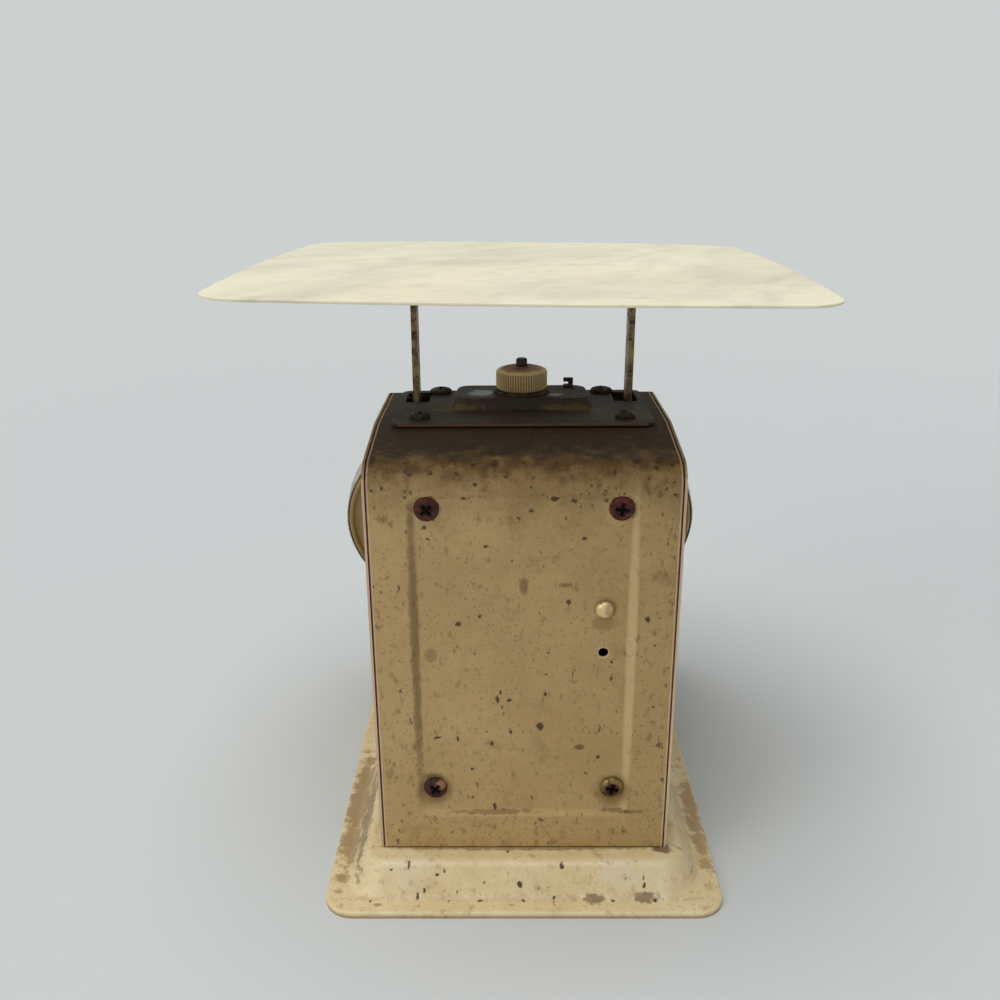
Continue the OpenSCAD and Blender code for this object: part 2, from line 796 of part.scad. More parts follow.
// Four screws that hold the cap, the roof and the housing's top flange together
module roof_cap_screws() {
    color("#4a3428")
        at_housing()
            at_cap_screws() screw($screw_head_d, cap_head_h, cap_shank_d, cap_shank_l);
}

// Nuts under the housing's top flange
module roof_cap_nuts() {
    color(steel)
        at_housing()
            at_cap_screws()
                translate([0, 0, -cap_t - 2 * sheet_t - nut_h]) nut(nut_w, nut_h, cap_shank_d);
}

// Small bent tab that stands on the boss beside the knob
module stop_tab() {
    t = 0.9;
    stand = boss_d / 2 - boss_run - 2;
    color(grime)
        at_housing()
            translate([-tab_x, -spindle_depth - stand, boss_z]) {
                translate([-tab_w / 2, -t / 2, 0]) cube([tab_w / 2, t, tab_h]);
                translate([-tab_w / 2, -t / 2, tab_h - 1.8]) cube([tab_w, t, 1.8]);
                translate([-tab_w / 2, -t / 2, 0]) cube([tab_w, 4, t]);
            }
}

// One angle strip inside the rear corner, with holes for the cover screws and the pivots.
// The left one is cut away behind the brass stud and the plain hole
module rail(side) {
    color(steel)
        at_housing()
            mirror([side < 0 ? 1 : 0, 0, 0])
                difference() {
                    union() {
                        translate([rail_in, -seat_depth - rail_t, rail_low])
                            cube([rail_out - rail_in, rail_t, rail_top - rail_low]);
                        translate([rail_out - rail_t, -rail_depth, rail_low])
                            cube([rail_t, rail_depth - seat_depth, rail_top - rail_low]);
                    }
                    for (z = cover_screw_z)
                        translate([cover_screw_x, 0, z])
                            rotate([90, 0, 0]) cylinder(h = 12, d = cover_shank_d + 2 * hole_gap);
                    for (z = pivot_z)
                        translate([0, -pivot_depth, z])
                            rotate([0, 90, 0]) cylinder(h = body_w, d = pivot_d + 2 * hole_gap);
                    if (side < 0)
                        for (hole = [[stud_z, stud_d], [stud_z - peep_drop, peep_d]])
                            translate([stud_x, 0, base_h + hole[0]])
                                rotate([90, 0, 0]) cylinder(h = 12, d = hole[1] + 3);
                }
}

// Rail on the side that is on the left as one faces the dial
module left_rail() {
    rail(-1);
}

// Rail on the right as one faces the dial
module right_rail() {
    rail(1);
}

// Two rods from rail to rail that the check links swing on
module pivot_rods() {
    color(steel)
        at_housing()
            for (z = pivot_z)
                translate([-rail_out, -pivot_depth, z])
                    rotate([0, 90, 0]) cylinder(h = 2 * rail_out, d = pivot_d);
}

// One check link: two arms on a tube, tied by a strip, with slots for the straps' pins
module check_link(z) {
    slot_mid = (link_l + pin_reach) / 2;
    slot_half = (pin_reach - link_l) / 2 + pin_d / 2 + side_gap;
    tie_from = link_tube_d / 2 + 5;
    color("#7d7a70")
        at_housing()
            translate([0, -pivot_depth, z])
                rotate([-link_swing / 2, 0, 0])
                    difference() {
                        union() {
                            translate([-link_out, 0, 0])
                                rotate([0, 90, 0]) cylinder(h = 2 * link_out, d = link_tube_d);
                            for (side = [0, 1])
                                mirror([side, 0, 0]) {
                                    across(link_out - link_t, link_out) {
                                        circle(d = link_w);
                                        translate([0, -link_w / 2]) square([slot_mid, link_w]);
                                        translate([slot_mid, 0]) circle(d = link_w);
                                    }
                                }
                            translate([-link_out + link_t / 2, -tie_from - 8, -link_t / 2])
                                cube([2 * link_out - link_t, 8, link_t]);
                        }
                        translate([-body_w / 2, 0, 0])
                            rotate([0, 90, 0]) cylinder(h = body_w, d = pivot_d + 2 * run_gap);
                        across(-body_w / 2, body_w / 2)
                            translate([slot_mid, 0])
                                square([2 * slot_half, pin_d + side_gap], center = true);
                    }
}

// Upper pair of guide arms, one piece
module upper_check_link() {
    check_link(pivot_z[1]);
}

// Lower pair of guide arms, one piece
module lower_check_link() {
    check_link(pivot_z[0]);
}

// Pins on the outside of the straps, in the check links' slots
module link_pins() {
    color(steel)
        at_housing()
            for (side = [0, 1], z = pin_z)
                mirror([side, 0, 0])
                    translate([bar_half - pin_head_t, -strap_depth, z])
                        rotate([0, 90, 0]) {
                            cylinder(h = link_out + side_gap + pin_head_t - bar_half, d = pin_d);
                            cylinder(h = pin_head_t, d = pin_d + 2);
                            translate([0, 0, link_out + side_gap + pin_head_t - bar_half])
                                cylinder(h = pin_head_t, d = pin_d + 2);
                        }
}

// Flat, nearly square sheet with bowed edges that takes the load
module platform() {
    color("#cfcab8")
        at_housing()
            translate([0, -platform_mid, strap_top])
                rotate([0, 0, platform_turn]) linear_extrude(platform_t) polygon(platform_outline);
}

// One strap: a flat bar bent inward under the platform
module strap(side) {
    color("#8d7f6c")
        at_housing()
            mirror([side < 0 ? 1 : 0, 0, 0])
                difference() {
                    translate([0, -strap_depth + strap_w / 2, 0])
                        rotate([90, 0, 0])
                            linear_extrude(strap_w) {
                                translate([strap_out - strap_t, strap_end])
                                    square([strap_t, strap_top - strap_bend - strap_end]);
                                translate([strap_out - strap_foot, strap_top - strap_t])
                                    square([strap_foot - strap_bend, strap_t]);
                                translate([strap_out - strap_bend, strap_top - strap_bend])
                                    intersection() {
                                        difference() {
                                            circle(r = strap_bend);
                                            circle(r = strap_bend - strap_t);
                                        }
                                        square(strap_bend);
                                    }
                            }
                    for (z = pin_z)
                        translate([0, -strap_depth, z])
                            rotate([0, 90, 0]) cylinder(h = body_w, d = pin_d + 2 * hole_gap);
                    translate([0, -strap_depth, rivet_z])
                        rotate([0, 90, 0]) cylinder(h = body_w, d = rivet_d + 2 * hole_gap);
                }
}

// Strap on the left as one faces the dial
module left_strap() {
    strap(-1);
}

// Strap on the right as one faces the dial
module right_strap() {
    strap(1);
}

// Angle bar between the straps, with an eye for the spring and turned-up ends
module carriage_bar() {
    color(steel)
        at_housing()
            difference() {
                union() {
                    translate([-bar_half, -bar_front, bar_top - bar_t])
                        cube([2 * bar_half, bar_front - bar_rear, bar_t]);
                    translate([-bar_half, -bar_front, bar_top - bar_t - bar_web])
                        cube([2 * bar_half, bar_t, bar_web + bar_t]);
                    for (side = [0, 1])
                        mirror([side, 0, 0])
                            translate([bar_half - bar_t, -bar_front, bar_top - bar_t])
                                cube([bar_t, strap_w, bar_tab]);
                    translate([0, -spindle_depth, bar_eye_z]) spring_eye(bar_top - bar_t - bar_eye_z);
                }
                translate([0, -strap_depth, rivet_z])
                    rotate([0, 90, 0]) cylinder(h = body_w, d = rivet_d + 2 * hole_gap, center = true);
                for (x = arm_rivets)
                    translate([x, -bar_front - bar_t, drive_z])
                        rotate([-90, 0, 0]) cylinder(h = 3 * bar_t, d = rivet_d + 2 * hole_gap);
                translate([0, -spindle_depth, bar_eye_z])
                    rotate([0, 90, 0]) cylinder(h = 2 * eye_t, d = eye_hole_d, center = true);
            }
}

// A rounded flat lug in the plane of depth and height, reaching to the given height
module spring_eye(reach) {
    rotate([0, 90, 0]) cylinder(h = eye_t, d = eye_d, center = true);
    if (reach < 0) translate([-eye_t / 2, -eye_d / 2, reach]) cube([eye_t, eye_d, -reach]);
}

// Rivets through the straps and the carriage bar, and through the drive arm's foot
module carriage_rivets() {
    color("#6d675c")
        at_housing() {
            for (side = [0, 1])
                mirror([side, 0, 0])
                    translate([bar_half - bar_t, -strap_depth, rivet_z])
                        rotate([0, 90, 0]) rivet(bar_t + strap_t);
            for (x = arm_rivets)
                translate([x, -bar_front - arm_t, drive_z]) rotate([-90, 0, 0]) rivet(arm_t + bar_t);
        }
}

// A rivet through a grip that starts at the XY plane
module rivet(grip) {
    head_t = 1;
    translate([0, 0, -head_t]) cylinder(h = head_t, d1 = rivet_d + 1, d2 = rivet_d + 2.4);
    cylinder(h = grip, d = rivet_d);
    translate([0, 0, grip]) cylinder(h = head_t, d1 = rivet_d + 2.4, d2 = rivet_d + 1);
}

// Arm from the carriage bar forward to the rack's slotted lug
module drive_arm() {
    reach = drive_depth + arm_h / 2;
    color(steel)
        at_housing()
            difference() {
                union() {
                    translate([arm_in, -drive_depth, drive_z - arm_h / 2])
                        cube([arm_t, drive_depth - bar_front, arm_h]);
                    translate([arm_in, -drive_depth, drive_z])
                        rotate([0, 90, 0]) cylinder(h = arm_t, d = arm_h);
                    translate([arm_in, -bar_front - arm_t, drive_z - arm_h / 2])
                        cube([arm_foot, arm_t, arm_h]);
                }
                translate([0, -drive_depth, drive_z])
                    rotate([0, 90, 0]) cylinder(h = body_w, d = drive_d + 2 * hole_gap);
                for (x = arm_rivets)
                    translate([x, -bar_front - 2 * arm_t, drive_z])
                        rotate([-90, 0, 0]) cylinder(h = 3 * arm_t, d = rivet_d + 2 * hole_gap);
            }
}

// Headed pin on the drive arm, in the rack's slot
module drive_pin() {
    from = lug_in - side_gap - pin_head_t;
    color(brass)
        at_housing()
            translate([from, -drive_depth, drive_z])
                rotate([0, 90, 0]) {
                    cylinder(h = pin_head_t, d = pin_head_d);
                    cylinder(h = arm_in + arm_t - from, d = drive_d);
                    translate([0, 0, arm_in + arm_t - from]) cylinder(h = pin_head_t, d = pin_head_d);
                }
}

// Washer that the knob turns on
module knob_washer() {
    color("#6a5a46")
        at_housing()
            translate([0, -spindle_depth, boss_z])
                difference() {
                    union() {
                        cylinder(h = washer_t / 2, d = washer_d);
                        translate([0, 0, washer_t / 2])
                            cylinder(h = washer_t / 2, d1 = washer_d, d2 = washer_d - washer_t);
                    }
                    translate([0, 0, -past])
                        cylinder(h = washer_t + 2 * past, d = spindle_d + 2 * run_gap);
                }
}

// Ribbed nut that lifts and lowers the spindle to set the pointer to zero
module zero_knob() {
    rib_step = 360 / knob_ribs;
    crown_d = knob_d - 2 * rib_depth - 0.4;
    color("#cbb98f")
        at_housing()
            translate([0, -spindle_depth, knob_z])
                difference() {
                    union() {
                        linear_extrude(knob_h)
                            polygon([for (k = [0:2 * knob_ribs - 1])
                                let (r = knob_d / 2 - (k % 2 == 0 ? 0 : rib_depth))
                                    r * [cos(k * rib_step / 2), sin(k * rib_step / 2)]]);
                        translate([0, 0, knob_h])
                            rotate_extrude()
                                polygon([[0, -past], [crown_d / 2, -past], [crown_d / 2, 0],
                                    [crown_d / 2 - 0.8, knob_crown * 0.42],
                                    [knob_d * 0.33, knob_crown * 0.78],
                                    [knob_d * 0.18, knob_crown], [0, knob_crown]]);
                    }
                    translate([0, 0, -past])
                        cylinder(h = knob_h + knob_crown + 2 * past, d = spindle_d + 2 * run_gap);
                }
}

// Rod through the knob that the spring hangs on
module spindle() {
    shank = spindle_eye_z + eye_d / 2 - 1;
    color("#3c3630")
        at_housing()
            translate([0, -spindle_depth, 0])
                difference() {
                    union() {
                        translate([0, 0, shank]) cylinder(h = spindle_top - 0.5 - shank, d = spindle_d);
                        translate([0, 0, spindle_top - 0.5])
                            cylinder(h = 0.5, d1 = spindle_d, d2 = spindle_d - 1);
                        translate([0, 0, spindle_eye_z]) spring_eye(0);
                    }
                    translate([0, 0, spindle_eye_z])
                        rotate([0, 90, 0]) cylinder(h = 2 * eye_t, d = eye_hole_d, center = true);
                }
}

// Centre line of the spring: lower hook, rise, coil, rise, upper hook
hook_open = 235;
function hook(a, z, up) = [hook_r * cos(a), 0, z + up * hook_r * sin(a)];
function hook_tangent(a, up) = [-sin(a), 0, up * cos(a)];
function bezier(p, q, r, s, t) =
    pow(1 - t, 3) * p + 3 * pow(1 - t, 2) * t * q + 3 * (1 - t) * t * t * r + t * t * t * s;
hook_start = -50;
hook_steps = 14;
rise_steps = 6;
rise_pull = 5;
coil_r = coil_d / 2;
low_hook = [for (k = [hook_steps:-1:0])
    hook(hook_start + (hook_open - hook_start) * k / hook_steps, low_hook_z, -1)];
low_rise = let (p = hook(hook_start, low_hook_z, -1), s = [coil_r, 0, coil_low])
    [for (k = [1:rise_steps - 1])
        bezier(p, p - rise_pull * hook_tangent(hook_start, -1), s - [0, rise_pull, 0], s, k / rise_steps)];
coil = [for (k = [0:coil_turns * ring_steps])
    let (a = 360 * k / ring_steps)
        [coil_r * cos(a), coil_r * sin(a), coil_low + coil_pitch * k / ring_steps]];
high_rise = let (p = [coil_r, 0, coil_high], s = hook(hook_start, high_hook_z, 1))
    [for (k = [1:rise_steps - 1])
        bezier(p, p + [0, rise_pull, 0], s - rise_pull * hook_tangent(hook_start, 1), s, k / rise_steps)];
high_hook = [for (k = [0:hook_steps])
    hook(hook_start + (hook_open - hook_start) * k / hook_steps, high_hook_z, 1)];
spring_line = concat(low_hook, low_rise, coil, high_rise, high_hook);

// Least gap between stretches of the wire that are more than half a turn apart
function along(pts, k, sum = 0) = k == 0 ? sum : along(pts, k - 1, sum + norm(pts[k] - pts[k - 1]));
function near_gap(pts, skip) = min([for (i = [0:len(pts) - 1 - skip], j = [i + skip:len(pts) - 1])
    norm(pts[i] - pts[j])]) - wire_d;
echo(str("least gap of the spring to itself: ", near_gap(spring_line, ring_steps - 2), " mm"));

// Frames carried along the line, so that the tube's sides don't twist
function unit(v) = v / norm(v);
function heading(pts, i) =
    unit(pts[min(i + 1, len(pts) - 1)] - pts[max(i - 1, 0)]);
function carried(n, t) = unit(n - (n * t) * t);
function normals(pts, i = 0, list = []) =
    i == len(pts) ? list
    : normals(pts, i + 1, concat(list,
        [carried(i == 0 ? [0, 1, 0] : list[i - 1], heading(pts, i))]));

// A tube of one unbroken skin along a line of points
module tube(pts, d, sides) {
    n = normals(pts);
    count = len(pts);
    ring = [for (i = [0:count - 1], k = [0:sides - 1])
        let (t = heading(pts, i), a = 360 * k / sides)
            pts[i] + d / 2 * (cos(a) * n[i] + sin(a) * cross(t, n[i]))];
    skin = [for (i = [0:count - 2], k = [0:sides - 1])
        let (a = i * sides + k, b = i * sides + (k + 1) % sides)
            each [[a, a + sides, b + sides], [a, b + sides, b]]];
    caps = [for (k = [1:sides - 2])
        each [[0, k, k + 1], [(count - 1) * sides, (count - 1) * sides + k + 1, (count - 1) * sides + k]]];
    polyhedron(points = ring, faces = concat(skin, caps));
}

// Coil spring with a hook at each end, between the spindle and the carriage bar
module main_spring() {
    color("#77736a")
        at_housing() translate([0, -spindle_depth, 0]) tube(spring_line, wire_d, wire_sides);
}

// Places its children at the three screws that hold the dial's pan
module at_dial_screws() {
    for (a = [90, 210, 330])
        translate([dial_screw_r * cos(a), dial_screw_r * sin(a), 0]) children();
}

// Plate inside the sloped front that carries the dial train
module bearing_plate() {
    color(steel)
        at_dial()
            difference() {
                translate([0, (plate_low + plate_high) / 2, plate_back])
                    pad(plate_w, plate_high - plate_low, plate_t, 4);
                at_dial_screws()
                    translate([0, 0, plate_back - past])
                        cylinder(h = plate_t + 2 * past, d = dial_screw_d + 2 * hole_gap);
                translate([0, 0, plate_back - past])
                    cylinder(h = plate_t + 2 * past, d = bush_d + 2 * hole_gap);
            }
}

// Flanged bush for the front of the arbor
module arbor_bush() {
    color(brass)
        at_dial()
            difference() {
                union() {
                    translate([0, 0, -sheet_t]) cylinder(h = 1, d = bush_flange_d);
                    translate([0, 0, -sheet_t - bush_l]) cylinder(h = bush_l, d = bush_d);
                }
                translate([0, 0, -sheet_t - bush_l - past])
                    cylinder(h = bush_l + 1 + 2 * past, d = arbor_d + 2 * run_gap);
            }
}

// Bridge behind the pinion that carries the rear end of the arbor
module bearing_bridge() {
    color(brass)
        at_dial()
            difference() {
                union() {
                    translate([-bridge_half, -bridge_w / 2, bridge_z - bridge_t])
                        cube([2 * bridge_half, bridge_w, bridge_t]);
                    for (side = [0, 1])
                        mirror([side, 0, 0]) {
                            translate([bridge_half - bridge_t, -bridge_w / 2, bridge_z - bridge_t])
                                cube([bridge_t, bridge_w, plate_back - bridge_z + bridge_t]);
                            translate([bridge_half - bridge_t, -bridge_w / 2, plate_back - bridge_t])
                                cube([8, bridge_w, bridge_t]);
                        }
                }
                translate([0, 0, bridge_z - 2 * bridge_t])
                    cylinder(h = 3 * bridge_t, d = arbor_d + 2 * run_gap);
            }
}

// Channel that keeps the rack in mesh
module rack_guide() {
    color(steel)
        at_dial()
            translate([0, guide_l / 2, 0])
                rotate([90, 0, 0])
                    linear_extrude(guide_l)
                        difference() {
                            union() {
                                translate([rack_root + 1, rack_back - side_gap - guide_t])
                                    square([rack_w - 1 + side_gap + guide_t,
                                        rack_t + 2 * (side_gap + guide_t)]);
                                translate([rack_side + side_gap, rack_back - side_gap - guide_t])
                                    square([guide_t, plate_back - rack_back + side_gap + guide_t]);
                                translate([rack_side + side_gap, plate_back - guide_t])
                                    square([5, guide_t]);
                            }
                            translate([rack_root, rack_back - side_gap])
                                square([rack_w + side_gap, rack_t + 2 * side_gap]);
                        }
}

// Dished steel pan behind the dial, with a rolled bead round its edge
module dial_pan() {
    color(paint)
        at_dial()
            difference() {
                union() {
                    rotate_extrude()
                        polygon([[pan_hole_d / 2, 0], [pan_wall_top - pan_wall_run, 0],
                            [pan_wall_top, pan_depth], [bead_mid, pan_depth], [bead_mid, pan_top],
                            [pan_wall_top - sheet_t / 2, pan_top],
                            [pan_wall_top - pan_wall_run - sheet_t / 2, sheet_t],
                            [pan_hole_d / 2, sheet_t]]);
                    rotate_extrude() translate([bead_mid, pan_top - bead_r]) circle(r = bead_r, $fn = 24);
                }
                at_dial_screws()
                    translate([0, 0, -past])
                        cylinder(h = sheet_t + 2 * past, d = dial_screw_d + 2 * hole_gap);
            }
}

// Screws through the pan and the housing into the bearing plate
module dial_screws() {
    color(steel)
        at_dial()
            at_dial_screws()
                translate([0, 0, sheet_t])
                    screw(small_head_d, dial_head_h, dial_screw_d, 2 * sheet_t + plate_t + 2.5);
}

// Printed disc
module dial_face() {
    color("#e9e4d2")
        at_dial()
            translate([0, 0, pan_top])
                difference() {
                    cylinder(h = face_t, r = face_r);
                    translate([0, 0, -past]) cylinder(h = face_t + 2 * past, d = arbor_d + 4);
                }
}

// Ring that holds the printed disc down and the lens up
module dial_spacer() {
    color("#d8d0b8")
        at_dial()
            translate([0, 0, face_z])
                difference() {
                    cylinder(h = lens_z - face_z, r = face_r);
                    translate([0, 0, -past]) cylinder(h = lens_z - face_z + 2 * past, r = face_r - spacer_t);
                }
}

// Rounded ring that is pressed over the pan's bead and holds the lens
module bezel() {
    shoulder_z = bezel_skirt + 3.9;
    rise = bezel_top - shoulder_z;
    steps = 8;
    color("#b9b19a")
        at_dial()
            rotate_extrude()
                polygon(concat(
                    [[bezel_r, bezel_skirt]],
                    [for (k = [0:steps])
                        let (a = 90 * k / steps)
                            [bezel_r - bezel_shoulder * (1 - cos(a)), shoulder_z + rise * sin(a)]],
                    [[bezel_r - bezel_shoulder - bezel_lip, bezel_top],
                        [bezel_r - bezel_shoulder - bezel_lip, bezel_top - bezel_t]],
                    [for (k = [steps:-1:0])
                        let (a = 90 * k / steps)
                            [bezel_r - bezel_t - (bezel_shoulder - bezel_t) * (1 - cos(a)),
                                shoulder_z + (rise - bezel_t) * sin(a)]],
                    [[bezel_r - bezel_t, bezel_skirt]]));
}

// Clear disc over the dial
module lens() {
    color("#dfeaf0", 0.4)
        at_dial() translate([0, 0, lens_z]) cylinder(h = lens_t, r = lens_r);
}

// Involute flank: half the angle that a pinion tooth takes at radius r
base_r = pitch_r * cos(pressure);
function roll(r) = sqrt(max(r * r / base_r / base_r - 1, 0));
function inv(r) = roll(r) * 180 / PI - atan(roll(r));
function half_tooth(r) =
    90 / pinion_teeth - backlash / 2 / pitch_r * 180 / PI + inv(pitch_r) - inv(r);
function polar(r, a) = r * [cos(a), sin(a)];
flank_steps = 4;
flank = [for (k = [0:flank_steps]) base_r + (pinion_tip - base_r) * k / flank_steps];

// Small brass pinion on the arbor
module pinion() {
    color(brass)
        at_dial()
            translate([0, 0, pinion_back])
                difference() {
                    linear_extrude(pinion_w)
                        polygon([for (tooth = [0:pinion_teeth - 1])
                            let (a = tooth * 360 / pinion_teeth)
                                each concat(
                                    [polar(pinion_root, a - half_tooth(base_r))],
                                    [for (r = flank) polar(r, a - half_tooth(r))],
                                    [for (k = [flank_steps:-1:0]) polar(flank[k], a + half_tooth(flank[k]))],
                                    [polar(pinion_root, a + half_tooth(base_r))])]);
                    translate([0, 0, -past])
                        cylinder(h = pinion_w + 2 * past, d = arbor_d - 0.3 + 2 * hole_gap);
                }
}

// Shaft that carries the pinion and the pointer
module pointer_arbor() {
    color(steel)
        at_dial() {
            translate([0, 0, arbor_back]) cylinder(h = arbor_front - arbor_back, d = arbor_d - 0.3);
            translate([0, 0, pinion_front]) cylinder(h = 0.3, d = bush_d - 1);
        }
}

// Toothed bar beside the pinion, with a slotted lug for the drive pin
module rack() {
    first = -3;
    last = ceil(rack_travel / tooth_pitch) + 2;
    tip = rack_line - 0.7 * tooth_m;
    half_tip = tooth_pitch / 4 - backlash / 2 - 0.7 * tooth_m * tan(pressure);
    half_root = tooth_pitch / 4 - backlash / 2 + 1.1 * tooth_m * tan(pressure);
    low = (drive_z - lug_h / 2 - dial_z - rack_back * sin(lean)) / cos(lean);
    color(brass) {
        at_dial()
            translate([0, 0, rack_back])
                linear_extrude(rack_t)
                    polygon(concat(
                        [[rack_side, (last + 1) * tooth_pitch], [rack_side, low], [rack_root, low]],
                        [for (k = [first:last])
                            let (y = (k + 0.5) * tooth_pitch)
                                each [[rack_root, y - half_root], [tip, y - half_tip],
                                    [tip, y + half_tip], [rack_root, y + half_root]]],
                        [[rack_root, (last + 1) * tooth_pitch]]));
        at_housing()
            difference() {
                across(lug_in, lug_in + lug_t)
                    polygon([
                        [drive_depth - slip - drive_d / 2 - side_gap - 3.2, drive_z - lug_h / 2],
                        [drive_depth - slip - drive_d / 2 - side_gap - 3.2, drive_z + lug_h / 2],
                        [rack_inner + (-lug_h / 2) * tan(lean) + 1, drive_z + lug_h / 2],
                        [rack_inner + (lug_h / 2) * tan(lean) + 1, drive_z - lug_h / 2]]);
                translate([0, -drive_depth + slip / 2, drive_z])
                    cube([body_w, slip + drive_d + 2 * side_gap, drive_d + side_gap], center = true);
            }
    }
}

// Tapered needle with a counterweight tail
module pointer() {
    spade = 7;
    color("#1f1d1b")
        at_dial()
            translate([0, 0, hub_z + (hub_h - blade_t) / 2])
                difference() {
                    union() {
                        linear_extrude(blade_t)
                            polygon([[-pointer_w / 2, 0], [-1.2, pointer_l - spade], [0, pointer_l],
                                [1.2, pointer_l - spade], [pointer_w / 2, 0],
                                [pointer_w * 0.7, -pointer_tail], [-pointer_w * 0.7, -pointer_tail]]);
                        cylinder(h = blade_t, d = hub_d - 1);
                    }
                    translate([0, 0, -past])
                        cylinder(h = blade_t + 2 * past, d = hub_d / 2 + 2 * hole_gap);
                }
}

// Hub that holds the pointer on the arbor
module pointer_hub() {
    low = (hub_h - blade_t) / 2;
    color("#8a6f3c")
        at_dial()
            translate([0, 0, hub_z])
                difference() {
                    union() {
                        cylinder(h = low, d = hub_d);
                        cylinder(h = hub_h, d = hub_d / 2);
                        translate([0, 0, low + blade_t]) cylinder(h = low, d1 = hub_d, d2 = hub_d * 0.7);
                    }
                    translate([0, 0, -past])
                        cylinder(h = hub_h + 2 * past, d = arbor_d - 0.3 + 2 * hole_gap);
                }
}

base_pan();
base_screws();
base_nuts();
front_shell();
rear_cover();
rear_cover_screws();
brass_stud();
roof_cap();
roof_cap_screws();
roof_cap_nuts();
stop_tab();
left_rail();
right_rail();
pivot_rods();
bearing_plate();
arbor_bush();
bearing_bridge();
rack_guide();
dial_pan();
dial_screws();
dial_face();
dial_spacer();
bezel();
lens();
platform();
left_strap();
right_strap();
carriage_bar();
carriage_rivets();
link_pins();
drive_arm();
drive_pin();
upper_check_link();
lower_check_link();
knob_washer();
zero_knob();
spindle();
main_spring();
rack();
pinion();
pointer_arbor();
pointer();
pointer_hub();
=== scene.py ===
"""Looks of a household spring scale, seen from behind: its modelled sheets and its finishes.

The part's own frame is used throughout: +Z up, the dial towards -Y, the rear cover towards
+Y. Sizes in the classes are millimetres, the meshes are metres, and every place comes from
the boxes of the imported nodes.
"""

import json
import logging
import math
from dataclasses import dataclass
from enum import Enum
from typing import Any, Callable, Iterable, Sequence

import bmesh
import bpy
from mathutils import Matrix, Vector, noise


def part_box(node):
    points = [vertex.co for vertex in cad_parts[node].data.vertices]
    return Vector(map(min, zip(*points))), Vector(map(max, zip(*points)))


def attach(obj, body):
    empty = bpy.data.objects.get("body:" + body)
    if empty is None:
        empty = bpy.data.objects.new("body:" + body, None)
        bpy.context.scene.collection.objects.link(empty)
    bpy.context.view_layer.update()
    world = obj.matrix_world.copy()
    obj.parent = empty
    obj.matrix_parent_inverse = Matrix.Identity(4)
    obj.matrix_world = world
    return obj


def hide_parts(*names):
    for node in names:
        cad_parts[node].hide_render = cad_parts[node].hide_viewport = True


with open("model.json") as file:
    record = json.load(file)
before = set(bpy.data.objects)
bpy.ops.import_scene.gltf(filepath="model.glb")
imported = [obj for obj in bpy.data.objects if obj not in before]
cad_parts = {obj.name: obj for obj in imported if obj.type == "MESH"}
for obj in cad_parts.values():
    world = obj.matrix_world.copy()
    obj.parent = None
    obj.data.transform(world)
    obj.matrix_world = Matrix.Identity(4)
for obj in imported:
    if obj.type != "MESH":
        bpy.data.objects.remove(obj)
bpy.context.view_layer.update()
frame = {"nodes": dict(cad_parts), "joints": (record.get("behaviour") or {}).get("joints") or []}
MM = 0.001
TINY = 0.001
APART = 60.0
LOG = logging.getLogger("scale")

Edges = list[bmesh.types.BMEdge]
Color = tuple[float, float, float, float]
Point = tuple[float, float, float]


def shade(red: int, green: int, blue: int) -> Color:
    """Turn a colour as a screen shows it, 0 to 255, into the linear values of a shader."""
    linear = [((c / 255 + 0.055) / 1.055) ** 2.4 if c > 10 else c / 255 / 12.92
              for c in (red, green, blue)]
    return (linear[0], linear[1], linear[2], 1.0)


class Body(Enum):
    """The moving bodies of the frame."""

    HOUSING = "housing"
    CARRIAGE = "carriage"
    UPPER_LINK = "upper_link"
    LOWER_LINK = "lower_link"
    KNOB = "knob"
    HANGER = "hanger"
    RACK = "rack_bar"
    INDICATOR = "indicator"


